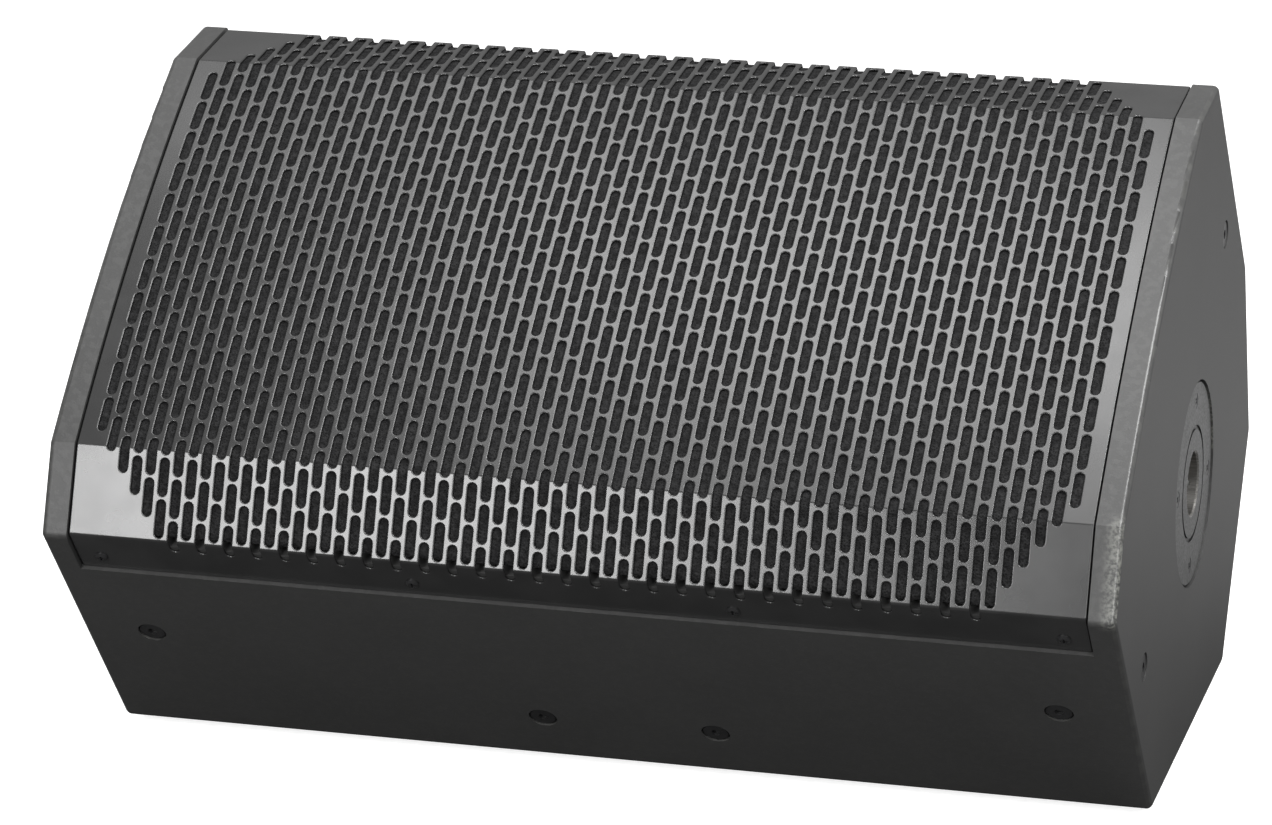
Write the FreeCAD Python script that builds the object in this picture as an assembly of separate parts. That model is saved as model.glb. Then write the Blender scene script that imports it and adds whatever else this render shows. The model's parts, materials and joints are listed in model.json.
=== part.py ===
import FreeCAD
import Part
import math
import os

# A two-way stage monitor wedge with a perforated steel grille, resting on its floor face.
# The model is drawn in the baffle's own frame and turned at the end: x across the cabinet, v up along
# the baffle, n out of the baffle. n is 0 at the crown of the grille. All sizes are in millimetres.

# Driving dimensions of the cabinet
WIDTH = 600.0
PANEL = 15.0
HALF_HEIGHT = 179.0
INNER_HALF_WIDTH = WIDTH / 2 - PANEL
INNER_HALF_HEIGHT = HALF_HEIGHT - PANEL
TOP_REAR_N = -204.0
REAR_CORNER = (134.0, -306.0)
HEEL_CORNER = (0.0, -353.5)
TOE_N = -222.0
CORNER_R = 6.0
FRONT_CORNER_R = 4.0
EDGE_R = 3.5

# The grille: a bowed main face, two flat facets and two return flanges
GRILLE_T = 1.2
GRILLE_BOW_R = 1150.0
BEND_V = 134.0
FACET_ANGLE = math.radians(31.0)
FLANGE_V = 176.8
FLANGE_END_N = -65.0
GRILLE_HALF_WIDTH = 284.0
BEND_R = 2.2
SIDE_PROUD = 0.8
SLOT_W = 5.0
SLOT_L = 20.8
COLUMN_PITCH = 8.0
ROW_PITCH = 11.46
LAST_ROW = 16
LAST_COLUMN = 34
LAST_FULL_ROW = 10
FOAM_T = 5.0
FOAM_V = 171.0
GRILLE_SCREWS_X = (-270.0, -90.0, 90.0, 270.0)
GRILLE_SCREW_N = -54.0

# The baffle board behind the grille
BAFFLE_N = -40.0
BAFFLE_T = 15.0
BATTEN = 20.0

# Loudspeakers and ports
WOOFER_X = -112.0
HORN_X = 162.0
WOOFER_FRAME_R = 155.0
WOOFER_CUT_R = 140.5
WOOFER_SCREW_PCR = 148.0
HORN_FLANGE = 186.0
HORN_MOUTH = (158.0, 146.0)
PORT_R = 25.0
PORT_WALL = 3.0
PORT_V = 131.0
PORT_LENGTH = 118.0

# Pole socket in the right side
POLE_V = 4.0
POLE_N = -172.0
POLE_R = 18.0
POLE_WALL = 2.5
POLE_DISC_R = 58.0
POLE_DISC_T = 2.5
POLE_DISC_SINK = 1.0
POLE_DEPTH = 78.0
POLE_SCREW_PCR = 47.0

# Recessed bolts: (x, n) in the lower front panel, (v, n) in each side
BRACKET_BOLTS = ((-259.0, -127.0), (-41.0, -182.0), (59.0, -182.0), (259.0, -127.0))
SIDE_BOLTS = ((145.0, -128.0), (-145.0, -128.0))

# Feet, handle and connectors
FOOT_H = 6.0
FOOT_R = 15.0
FOOT_X = 255.0
FOOT_INSET = 31.0
HANDLE_V = 4.0
HANDLE_N = -172.0
PLATE = (150.0, 84.0)
PLATE_X = -150.0
SOCKET_PITCH = 60.0

V3 = FreeCAD.Vector
X_AXIS = V3(1, 0, 0)
Y_AXIS = V3(0, 1, 0)
Z_AXIS = V3(0, 0, 1)

TOE = (-HALF_HEIGHT, TOE_N)
TILT = math.atan2(TOE[1] - HEEL_CORNER[1], HEEL_CORNER[0] - TOE[0])


# ---------------------------------------------------------------- helpers

def point(x, vn):
    return V3(x, vn[0], vn[1])


def polygon_prism(corners, x0, x1):
    """A prism along x on a polygon of (v, n) corners."""
    wire = Part.makePolygon([point(x0, c) for c in corners] + [point(x0, corners[0])])
    return Part.Face(wire).extrude(V3(x1 - x0, 0, 0))


def block(x0, x1, v0, v1, n0, n1):
    return Part.makeBox(x1 - x0, v1 - v0, n1 - n0, V3(x0, v0, n0))


def turned(profile, x=0.0, v=0.0):
    """A solid of revolution about the n axis through (x, v); the profile is (r, n) corners."""
    wire = Part.makePolygon([V3(r, 0, n) for r, n in profile + [profile[0]]])
    solid = Part.Face(wire).revolve(V3(0, 0, 0), Z_AXIS, 360)
    solid.translate(V3(x, v, 0))
    return solid


def spun(profile):
    """A solid of revolution about its own z axis, to be placed on a panel; the profile is (r, z) corners."""
    return turned(profile)


def polar(count, radius, start=0.0):
    step = 2 * math.pi / count
    return [(radius * math.cos(start + i * step), radius * math.sin(start + i * step)) for i in range(count)]


def group(solids):
    return Part.makeCompound(solids)


def cut_all(base, tools):
    return base.cut(list(tools))


def placed(solid, origin, z_dir, x_dir=X_AXIS):
    """A copy of a solid drawn about its own z axis, stood at origin with that axis along z_dir."""
    z_unit = V3(z_dir)
    z_unit.normalize()
    y_unit = z_unit.cross(x_dir)
    y_unit.normalize()
    x_unit = y_unit.cross(z_unit)
    turn = FreeCAD.Matrix(
        x_unit.x, y_unit.x, z_unit.x, origin.x,
        x_unit.y, y_unit.y, z_unit.y, origin.y,
        x_unit.z, y_unit.z, z_unit.z, origin.z,
        0, 0, 0, 1,
    )
    copy = solid.copy()
    copy.transformShape(turn)
    return copy


def hex_prism(across_flats, height, z0):
    corners = polar(6, across_flats / math.sqrt(3))
    wire = Part.makePolygon([V3(a, b, z0) for a, b in corners + [corners[0]]])
    return Part.Face(wire).extrude(V3(0, 0, height))


def cross_recess(width, depth, z_top):
    """The two crossed blocks of a cross-head recess, below z_top."""
    arm = width / 4
    one = Part.makeBox(width, arm, depth, V3(-width / 2, -arm / 2, z_top - depth))
    two = Part.makeBox(arm, width, depth, V3(-arm / 2, -width / 2, z_top - depth))
    return one.fuse(two)


def pan_screw(head_r, head_h, shank_r, length):
    """A cross-head pan screw: the head's underside at z 0, its shank running to -length."""
    dome = [(0, -length), (shank_r, -length), (shank_r, 0), (head_r, 0),
            (head_r, head_h * 0.45), (head_r * 0.62, head_h), (0, head_h)]
    return spun(dome).cut(cross_recess(head_r * 1.15, head_h * 0.7, head_h))


def countersunk_screw(head_r, shank_r, length):
    """A cross-head countersunk screw: its top face at z 0."""
    cone_h = head_r - shank_r
    body = [(0, -length), (shank_r, -length), (shank_r, -cone_h), (head_r, 0), (0, 0)]
    return spun(body).cut(cross_recess(head_r * 1.1, cone_h * 0.7, 0))


# ---------------------------------------------------------------- the front outline

def bow_drop(v):
    """How far the bowed main face has fallen from its crown at v."""
    return GRILLE_BOW_R - math.sqrt(GRILLE_BOW_R ** 2 - v ** 2)


BEND_N = -bow_drop(BEND_V)


def facet_n(v, offset):
    """n on the facet's line, moved out along its normal by offset."""
    return BEND_N + (offset - (v - BEND_V) * math.sin(FACET_ANGLE)) / math.cos(FACET_ANGLE)


def bend_point(offset):
    """Where the bowed face and the facet meet, both moved out by offset."""
    across = BEND_V * math.sin(FACET_ANGLE) + (BEND_N + GRILLE_BOW_R) * math.cos(FACET_ANGLE)
    turn = FACET_ANGLE - math.acos((offset + across) / (GRILLE_BOW_R + offset))
    radius = GRILLE_BOW_R + offset
    return (radius * math.sin(turn), radius * math.cos(turn) - GRILLE_BOW_R)


def front_edges(x, offset, v_end):
    """Edges of the front outline from -v_end to +v_end: facet, bow, facet."""
    bend_v, bend_n = bend_point(offset)
    low_end = V3(x, -v_end, facet_n(v_end, offset))
    low_bend = V3(x, -bend_v, bend_n)
    crown = V3(x, 0, offset)
    high_bend = V3(x, bend_v, bend_n)
    high_end = V3(x, v_end, facet_n(v_end, offset))
    bow = Part.Arc(low_bend, crown, high_bend).toShape()
    return [Part.makeLine(low_end, low_bend), bow, Part.makeLine(high_bend, high_end)]


def closed_prism(edges, length):
    wire = Part.Wire(Part.__sortEdges__(edges))
    return Part.Face(wire).extrude(V3(length, 0, 0))


def x_edges(solid, near, tolerance=0.5):
    """The straight edges along x whose (v, n) lies at one of the given places."""
    found = []
    for edge in solid.Edges:
        a, b = edge.Vertexes[0].Point, edge.Vertexes[-1].Point
        if abs(a.x - b.x) < 1.0 or abs(a.y - b.y) > 0.01 or abs(a.z - b.z) > 0.01:
            continue
        if any(abs(a.y - v) < tolerance and abs(a.z - n) < tolerance for v, n in near):
            found.append(edge)
    return found


# ---------------------------------------------------------------- cabinet shell

def offset_corner(before, corner, after, distance):
    """The corner of the parallel outline that lies distance inside."""
    def line(a, b):
        du, dw = b[0] - a[0], b[1] - a[1]
        length = math.hypot(du, dw)
        normal = (-dw / length, du / length)
        return normal, normal[0] * a[0] + normal[1] * a[1]
    n1, c1 = line(before, corner)
    n2, c2 = line(corner, after)
    c1 -= distance
    c2 -= distance
    det = n1[0] * n2[1] - n1[1] * n2[0]
    return ((c1 * n2[1] - c2 * n1[1]) / det, (n1[0] * c2 - n2[0] * c1) / det)


SIDE_FRONT_N = facet_n(HALF_HEIGHT, SIDE_PROUD)
LOWER_FRONT = (-HALF_HEIGHT, SIDE_FRONT_N)
UPPER_FRONT = (HALF_HEIGHT, SIDE_FRONT_N)
TOP_REAR = (HALF_HEIGHT, TOP_REAR_N)
OUTER = [UPPER_FRONT, TOP_REAR, REAR_CORNER, HEEL_CORNER, TOE, LOWER_FRONT]
INNER = [(INNER_HALF_HEIGHT, SIDE_FRONT_N)]
for index in range(1, 5):
    INNER.append(offset_corner(OUTER[index - 1], OUTER[index], OUTER[index + 1], PANEL))
INNER.append((-INNER_HALF_HEIGHT, SIDE_FRONT_N))


def side_blank(x0, thickness):
    edges = front_edges(x0, SIDE_PROUD, HALF_HEIGHT)
    loop = [point(x0, c) for c in OUTER]
    edges += [Part.makeLine(a, b) for a, b in zip(loop, loop[1:])]
    blank = closed_prism(edges, thickness)
    blank = blank.makeFillet(CORNER_R, x_edges(blank, OUTER[1:5]))
    return blank.makeFillet(FRONT_CORNER_R, x_edges(blank, [UPPER_FRONT, LOWER_FRONT]))


def round_outer_edges(panel, x_out):
    rim = [e for e in panel.Edges if all(abs(v.Point.x - x_out) < 0.01 for v in e.Vertexes)]
    return panel.makeFillet(EDGE_R, rim)


def bolt_bore(depth_through):
    """The stepped hole of a recessed bolt, drawn with the panel's face at z 0."""
    return spun([(0, -depth_through), (4, -depth_through), (4, -2.8), (8.2, -2.8), (8.2, 1), (0, 1)])


def side_bolt_spots(sign):
    return [(V3(sign * WIDTH / 2, v, n), V3(sign, 0, 0)) for v, n in SIDE_BOLTS]


def bracket_bolt_spots():
    return [(V3(x, -HALF_HEIGHT, n), V3(0, -1, 0)) for x, n in BRACKET_BOLTS]


def side_panel_right():
    panel = round_outer_edges(side_blank(INNER_HALF_WIDTH, PANEL), WIDTH / 2)
    seat = POLE_DISC_SINK + POLE_DISC_T
    bore = [(0, -PANEL - 1), (POLE_R + POLE_WALL, -PANEL - 1), (POLE_R + POLE_WALL, -seat),
            (POLE_DISC_R + 0.6, -seat), (POLE_DISC_R + 0.6, 1), (0, 1)]
    face = V3(WIDTH / 2, POLE_V, POLE_N)
    tools = [placed(spun(bore), face, X_AXIS, Y_AXIS)]
    for a, b in polar(4, POLE_SCREW_PCR, math.pi / 4):
        pilot = Part.makeCylinder(2.0, PANEL, V3(a, b, -PANEL + 1))
        tools.append(placed(pilot, face, X_AXIS, Y_AXIS))
    tools += [placed(bolt_bore(PANEL + 1), spot, out, Y_AXIS) for spot, out in side_bolt_spots(1)]
    return cut_all(panel, tools)


def handle_frame():
    """Where the handle cup's rim sits: on the left side, its length along v."""
    return V3(-WIDTH / 2, HANDLE_V, HANDLE_N), V3(-1, 0, 0), Y_AXIS


HANDLE_RIM = (172.0, 118.0)
HANDLE_MOUTH = (146.0, 92.0)
HANDLE_DEPTH = 58.0
HANDLE_WALL = 3.0
HANDLE_RIM_T = 3.0
HANDLE_BAR = 24.0


def rounded_block(length, width, z0, z1, radius):
    """A block with its four upright edges rounded, centred on its own z axis."""
    blank = Part.makeBox(length, width, z1 - z0, V3(-length / 2, -width / 2, z0))
    upright = [e for e in blank.Edges if abs(e.Vertexes[0].Point.z - e.Vertexes[-1].Point.z) > 0.5]
    return blank.makeFillet(radius, upright)


def handle_screw_spots():
    return [(a * (HANDLE_RIM[0] / 2 - 7), b * (HANDLE_RIM[1] / 2 - 7)) for a in (-1, 1) for b in (-1, 1)]


def side_panel_left():
    panel = round_outer_edges(side_blank(-INNER_HALF_WIDTH, -PANEL), -WIDTH / 2)
    origin, out, along = handle_frame()
    seat = rounded_block(HANDLE_RIM[0] + 1, HANDLE_RIM[1] + 1, -HANDLE_RIM_T, 1, 12)
    hole = rounded_block(HANDLE_MOUTH[0] + 6.6, HANDLE_MOUTH[1] + 6.6, -PANEL - 1, 1, 17)
    tools = [placed(seat, origin, out, along), placed(hole, origin, out, along)]
    for a, b in handle_screw_spots():
        tools.append(placed(Part.makeCylinder(1.75, PANEL, V3(a, b, -PANEL + 1)), origin, out, along))
    tools += [placed(bolt_bore(PANEL + 1), spot, face, Y_AXIS) for spot, face in side_bolt_spots(-1)]
    return cut_all(panel, tools)


def shell_ring():
    """The bent strip that all the panels between the two sides are cut from."""
    x0 = -INNER_HALF_WIDTH
    solid = polygon_prism(OUTER, x0, -x0)
    solid = solid.makeFillet(CORNER_R, x_edges(solid, OUTER[1:5]))
    return solid.cut(polygon_prism(INNER, x0 - 1, -x0 + 1))


def mitre_sector(i, j):
    """The slice of the cabinet between the mitres at corners i and j."""
    def outside(k):
        return tuple(o + 0.6 * (o - n) for o, n in zip(OUTER[k], INNER[k]))
    return polygon_prism([outside(i), outside(j), INNER[j], INNER[i]], -WIDTH, WIDTH)


def flange_rebate(sign):
    depth = FLANGE_V - GRILLE_T - 0.15
    low, high = sorted((sign * depth, sign * (HALF_HEIGHT + 20)))
    return block(-WIDTH, WIDTH, low, high, FLANGE_END_N - 0.4, 20)


def grille_screw_spots(sign):
    return [(V3(x, sign * FLANGE_V, GRILLE_SCREW_N), V3(0, sign, 0)) for x in GRILLE_SCREWS_X]


def front_trim():
    """Everything ahead of the baffle's front face, which the panels' front edges stop at."""
    return block(-WIDTH, WIDTH, -HALF_HEIGHT - 30, HALF_HEIGHT + 30, BAFFLE_N, 40)


def pilot_holes(spots, radius, depth):
    return [placed(Part.makeCylinder(radius, depth + 3, V3(0, 0, -depth)), spot, out) for spot, out in spots]


def top_panel(ring):
    panel = ring.common(mitre_sector(0, 1))
    tools = [front_trim(), flange_rebate(1)] + pilot_holes(grille_screw_spots(1), 1.5, 12)
    return cut_all(panel, tools)


def lower_front_panel(ring):
    panel = ring.common(mitre_sector(4, 5))
    tools = [front_trim(), flange_rebate(-1)] + pilot_holes(grille_screw_spots(-1), 1.5, 12)
    tools += [placed(bolt_bore(PANEL + 1), spot, out) for spot, out in bracket_bolt_spots()]
    return cut_all(panel, tools)


def panel_frame(i, j, along, x):
    """A spot on the outer face between corners i and j, and the outward direction there."""
    a, b = OUTER[i], OUTER[j]
    length = math.hypot(b[0] - a[0], b[1] - a[1])
    du, dw = (b[0] - a[0]) / length, (b[1] - a[1]) / length
    spot = V3(x, a[0] + du * along, a[1] + dw * along)
    return spot, V3(0, -dw, du)


FLOOR_LENGTH = math.hypot(HEEL_CORNER[0] - TOE[0], HEEL_CORNER[1] - TOE[1])
UPPER_REAR_LENGTH = math.hypot(TOP_REAR[0] - REAR_CORNER[0], TOP_REAR[1] - REAR_CORNER[1])


def foot_spots():
    spots = []
    for x in (-FOOT_X, FOOT_X):
        for along in (FOOT_INSET, FLOOR_LENGTH - FOOT_INSET):
            spots.append(panel_frame(3, 4, along, x))
    return spots


def floor_panel(ring):
    panel = ring.common(mitre_sector(3, 4))
    return cut_all(panel, pilot_holes(foot_spots(), 1.75, 11))


def connector_frame():
    return panel_frame(1, 2, UPPER_REAR_LENGTH / 2, PLATE_X)


def plate_screw_spots():
    return [(a * (PLATE[0] / 2 - 7), b * (PLATE[1] / 2 - 7)) for a in (-1, 1) for b in (-1, 1)]


def upper_rear_panel(ring):
    panel = ring.common(mitre_sector(1, 2))
    spot, out = connector_frame()
    seat = rounded_block(PLATE[0] + 0.8, PLATE[1] + 0.8, -2.0, 5, 6.4)
    hole = rounded_block(PLATE[0] - 26, PLATE[1] - 26, -PANEL - 5, 5, 4)
    tools = [placed(seat, spot, out), placed(hole, spot, out)]
    for a, b in plate_screw_spots():
        tools.append(placed(Part.makeCylinder(1.5, 12, V3(a, b, -12)), spot, out))
    return cut_all(panel, tools)


def rear_panel(ring):
    return ring.common(mitre_sector(2, 3))


def woofer_screw_spots():
    return [(WOOFER_X + a, b) for a, b in polar(8, WOOFER_SCREW_PCR, math.pi / 8)]


def horn_screw_spots():
    reach = HORN_FLANGE / 2 - 10
    return [(HORN_X + a * reach, b * reach) for a in (-1, 1) for b in (-1, 1)]


def front_baffle():
    board = block(-INNER_HALF_WIDTH, INNER_HALF_WIDTH, -INNER_HALF_HEIGHT, INNER_HALF_HEIGHT,
                  BAFFLE_N - BAFFLE_T, BAFFLE_N)
    base = BAFFLE_N - BAFFLE_T - 1
    deep = BAFFLE_T + 2
    tools = [Part.makeCylinder(WOOFER_CUT_R, deep, V3(WOOFER_X, 0, base))]
    horn_hole = rounded_block(HORN_MOUTH[0] + 8, HORN_MOUTH[1] + 8, base, base + deep, 20)
    horn_hole.translate(V3(HORN_X, 0, 0))
    tools.append(horn_hole)
    for sign in (-1, 1):
        tools.append(Part.makeCylinder(PORT_R + PORT_WALL, deep, V3(HORN_X, sign * PORT_V, base)))
    for x, v in woofer_screw_spots() + horn_screw_spots():
        tools.append(Part.makeCylinder(2.0, deep, V3(x, v, base)))
    return cut_all(board, tools)


def baffle_battens():
    back = BAFFLE_N - BAFFLE_T
    front = back - BATTEN
    strips = []
    for sign in (-1, 1):
        low, high = sorted((sign * (INNER_HALF_HEIGHT - BATTEN), sign * INNER_HALF_HEIGHT))
        strip = block(-INNER_HALF_WIDTH, INNER_HALF_WIDTH, low, high, front, back)
        port = Part.makeCylinder(PORT_R + PORT_WALL + 0.5, BATTEN + 2, V3(HORN_X, sign * PORT_V, front - 1))
        strips.append(strip.cut(port))
        low, high = sorted((sign * (INNER_HALF_WIDTH - BATTEN), sign * INNER_HALF_WIDTH))
        reach = INNER_HALF_HEIGHT - BATTEN
        strips.append(block(low, high, -reach, reach, front, back))
    return group(strips)


# ---------------------------------------------------------------- grille

def grille_sheet():
    x0 = -GRILLE_HALF_WIDTH
    inner_v = FLANGE_V - GRILLE_T
    edges = front_edges(x0, 0, FLANGE_V)
    edges += front_edges(x0, -GRILLE_T, inner_v)
    for sign in (-1, 1):
        outer_top = V3(x0, sign * FLANGE_V, facet_n(FLANGE_V, 0))
        outer_end = V3(x0, sign * FLANGE_V, FLANGE_END_N)
        inner_top = V3(x0, sign * inner_v, facet_n(inner_v, -GRILLE_T))
        inner_end = V3(x0, sign * inner_v, FLANGE_END_N)
        edges.append(Part.makeLine(outer_top, outer_end))
        edges.append(Part.makeLine(outer_end, inner_end))
        edges.append(Part.makeLine(inner_end, inner_top))
    sheet = closed_prism(edges, 2 * GRILLE_HALF_WIDTH)
    outer_bends = [(s * FLANGE_V, facet_n(FLANGE_V, 0)) for s in (-1, 1)]
    inner_bends = [(s * inner_v, facet_n(inner_v, -GRILLE_T)) for s in (-1, 1)]
    sheet = sheet.makeFillet(BEND_R, x_edges(sheet, outer_bends, 0.1))
    return sheet.makeFillet(BEND_R - GRILLE_T, x_edges(sheet, inner_bends, 0.1))


BOW_LENGTH = GRILLE_BOW_R * math.asin(BEND_V / GRILLE_BOW_R)


def grille_station(s):
    """(v, n) and the slope angle at a distance s along the grille's outer face from its crown."""
    side = 1 if s >= 0 else -1
    reach = abs(s)
    if reach <= BOW_LENGTH:
        angle = reach / GRILLE_BOW_R
        return side * GRILLE_BOW_R * math.sin(angle), -bow_drop(GRILLE_BOW_R * math.sin(angle)), side * angle
    beyond = reach - BOW_LENGTH
    v = BEND_V + beyond * math.cos(FACET_ANGLE)
    return side * v, BEND_N - beyond * math.sin(FACET_ANGLE), side * FACET_ANGLE


def slot_tool(length):
    """One round-ended slot cutter, its length along y, through z."""
    r = SLOT_W / 2
    h = length / 2 - r
    left = [V3(-r, -h, -4), V3(-r, h, -4)]
    right = [V3(r, h, -4), V3(r, -h, -4)]
    edges = [
        Part.makeLine(left[0], left[1]),
        Part.Arc(left[1], V3(0, h + r, -4), right[0]).toShape(),
        Part.makeLine(right[0], right[1]),
        Part.Arc(right[1], V3(0, -h - r, -4), left[0]).toShape(),
    ]
    return Part.Face(Part.Wire(edges)).extrude(V3(0, 0, 8))


def row_columns(row):
    last = LAST_COLUMN - max(0, abs(row) - LAST_FULL_ROW)
    return [c for c in range(-last, last + 1) if (c + row) % 2 == 0]


def row_tool(row):
    """The cutter of one row, at x 0. The end rows cross the fold to the flange, along its bisector."""
    v, n, slope = grille_station(row * ROW_PITCH)
    length = SLOT_L
    if abs(row) == LAST_ROW:
        half_fold = (math.pi / 2 - FACET_ANGLE) / 2
        slope = math.copysign(FACET_ANGLE + half_fold, row)
        length = SLOT_L * math.cos(half_fold)
    normal = V3(0, math.sin(slope), math.cos(slope))
    return placed(slot_tool(length), V3(0, v, n), normal)


def grille():
    """The folded sheet with its slots, cut a strip of three columns at a time and joined into one solid."""
    sheet = grille_sheet()
    profile = min(sheet.Faces, key=lambda face: face.CenterOfMass.x)
    cutters = {row: row_tool(row) for row in range(-LAST_ROW, LAST_ROW + 1)}
    screw_holes = pilot_holes(grille_screw_spots(-1) + grille_screw_spots(1), 1.8, 4)
    firsts = range(-LAST_COLUMN, LAST_COLUMN + 1, 3)
    bounds = [-GRILLE_HALF_WIDTH] + [(c - 0.5) * COLUMN_PITCH for c in firsts[1:]] + [GRILLE_HALF_WIDTH]
    strips = []
    for first, x0, x1 in zip(firsts, bounds, bounds[1:]):
        strip = profile.extrude(V3(x1 - x0, 0, 0))
        strip.translate(V3(x0 + GRILLE_HALF_WIDTH, 0, 0))
        tools = [hole for hole in screw_holes if x0 - 3 < hole.CenterOfMass.x < x1 + 3]
        for row, cutter in cutters.items():
            for column in row_columns(row):
                if first <= column < first + 3:
                    copy = cutter.copy()
                    copy.translate(V3(column * COLUMN_PITCH, 0, 0))
                    tools.append(copy)
        strips.append(cut_all(strip, tools))
    return strips[0].fuse(strips[1:])


def grille_foam():
    """The foam sheet bonded behind the grille."""
    x0 = -GRILLE_HALF_WIDTH + 2
    near = -GRILLE_T - 0.1
    far = near - FOAM_T
    edges = front_edges(x0, near, FOAM_V) + front_edges(x0, far, FOAM_V)
    for sign in (-1, 1):
        near_end = V3(x0, sign * FOAM_V, facet_n(FOAM_V, near))
        far_end = V3(x0, sign * FOAM_V, facet_n(FOAM_V, far))
        edges.append(Part.makeLine(near_end, far_end))
    return closed_prism(edges, -2 * x0)


def grille_screws():
    """Four screws in each return flange, one row along the lower panel and one along the top."""
    screw = pan_screw(3.6, 1.7, 1.5, 12)
    spots = grille_screw_spots(-1) + grille_screw_spots(1)
    return group([placed(screw, spot, out) for spot, out in spots])


# ---------------------------------------------------------------- woofer
# Heights h in the loudspeaker profiles are measured from the baffle's front face.

def on_baffle(profile, x):
    """A solid of revolution about a loudspeaker's axis; the profile is (r, h) corners."""
    return turned([(r, BAFFLE_N + h) for r, h in profile], x)


FORMER_R = 37.5
FORMER_T = 0.5
MOTOR_TOP_H = -84.0
CONE_RIM_R = 116.8
CONE_RIM_H = 6.5
ROLL_R = 7.6
ROLL_T = 0.8
SPIDER_H = -68.3
TERMINAL_V = 79.0


def woofer_basket():
    outside = [(WOOFER_FRAME_R, 6), (WOOFER_FRAME_R, 0), (WOOFER_CUT_R - 0.5, 0), (WOOFER_CUT_R - 0.8, -12),
               (87, -68), (74, MOTOR_TOP_H), (41, MOTOR_TOP_H)]
    inside = [(41, -81), (70, -81), (74, -76), (74, -69), (84, -69), (135.5, -11), (135.5, 2), (132, 2), (132, 6)]
    basket = on_baffle(outside + inside, WOOFER_X)
    tools = []
    window = [V3(r, 0, BAFFLE_N + h) for r, h in ((93, -95), (150, -95), (150, -17), (127, -17), (93, -56))]
    face = Part.Face(Part.makePolygon(window + [window[0]]))
    for i in range(6):
        cutter = face.revolve(V3(0, 0, 0), Z_AXIS, 40)
        cutter.rotate(V3(0, 0, 0), Z_AXIS, 60 * i - 20)
        cutter.translate(V3(WOOFER_X, 0, 0))
        tools.append(cutter)
    for x, v in woofer_screw_spots():
        tools.append(Part.makeCylinder(2.6, 8, V3(x, v, BAFFLE_N - 1)))
    return cut_all(basket, tools)


def woofer_gasket():
    ring = on_baffle([(WOOFER_FRAME_R, 6), (140.2, 6), (140.2, 6 + ROLL_T), (132.2, 6 + ROLL_T),
                      (132.2, 9), (134, 10.5), (WOOFER_FRAME_R - 1, 10.5), (WOOFER_FRAME_R, 9.5)], WOOFER_X)
    holes = [Part.makeCylinder(2.6, 8, V3(x, v, BAFFLE_N + 4)) for x, v in woofer_screw_spots()]
    seats = [Part.makeCylinder(4.6, 8, V3(x, v, BAFFLE_N + 8.5)) for x, v in woofer_screw_spots()]
    return cut_all(ring, holes + seats)


def woofer_surround():
    """A half-roll of coated cloth, with a flat rim under the gasket and a lip on the cone."""
    middle = CONE_RIM_R - 0.4 + ROLL_R
    top = BAFFLE_N + CONE_RIM_H
    outer_r = ROLL_R + ROLL_T / 2
    inner_r = ROLL_R - ROLL_T / 2
    rim = BAFFLE_N + 6
    pts = [V3(middle - outer_r, 0, top), V3(middle, 0, top + outer_r), V3(middle + outer_r, 0, top + 0.3),
           V3(140, 0, top + 0.3), V3(140, 0, rim), V3(middle + inner_r, 0, rim),
           V3(middle, 0, top + inner_r), V3(middle - inner_r, 0, top)]
    lift = V3(middle + outer_r * math.cos(0.6), 0, top + outer_r * math.sin(0.6))
    dip = V3(middle + inner_r * math.cos(0.6), 0, top + inner_r * math.sin(0.6))
    edges = [
        Part.Arc(pts[0], V3(middle - outer_r * math.cos(0.8), 0, top + outer_r * math.sin(0.8)), pts[1]).toShape(),
        Part.Arc(pts[1], lift, pts[2]).toShape(),
        Part.makeLine(pts[2], pts[3]),
        Part.makeLine(pts[3], pts[4]),
        Part.makeLine(pts[4], pts[5]),
        Part.Arc(pts[5], dip, pts[6]).toShape(),
        Part.Arc(pts[6], V3(middle - inner_r * math.cos(0.8), 0, top + inner_r * math.sin(0.8)), pts[7]).toShape(),
        Part.makeLine(pts[7], pts[0]),
    ]
    roll = Part.Face(Part.Wire(Part.__sortEdges__(edges))).revolve(V3(0, 0, 0), Z_AXIS, 360)
    roll.translate(V3(WOOFER_X, 0, 0))
    return roll


def woofer_cone():
    neck_r = FORMER_R + FORMER_T
    outside = [(neck_r, -60), (neck_r, -58.4), (60, -36), (90, -12.5), (CONE_RIM_R - 2, 4.4),
               (CONE_RIM_R - 1.2, CONE_RIM_H), (CONE_RIM_R, CONE_RIM_H), (CONE_RIM_R, 4.0), (91, -14.2), (61, -37.8)]
    return on_baffle(outside, WOOFER_X)


def woofer_dust_cap():
    """A shallow dome whose edge stands on the cone."""
    edge_r, edge_h, rise, thick = 44.0, -53.4, 13.0, 0.8
    ball = (edge_r ** 2 + rise ** 2) / (2 * rise)
    centre = V3(WOOFER_X, 0, BAFFLE_N + edge_h + rise - ball)
    shell = Part.makeSphere(ball, centre).cut(Part.makeSphere(ball - thick, centre))
    keep = Part.makeCylinder(edge_r, rise + 5, V3(WOOFER_X, 0, BAFFLE_N + edge_h))
    return shell.common(keep).cut(woofer_cone())


def voice_coil_former():
    inner = FORMER_R
    outer = FORMER_R + FORMER_T
    return on_baffle([(inner, -58.4), (outer, -58.4), (outer, -100), (inner, -100)], WOOFER_X)


def voice_coil_winding():
    inner = FORMER_R + FORMER_T
    return on_baffle([(inner, -82), (inner + 1.0, -82), (inner + 1.0, -97), (inner, -97)], WOOFER_X)


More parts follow.
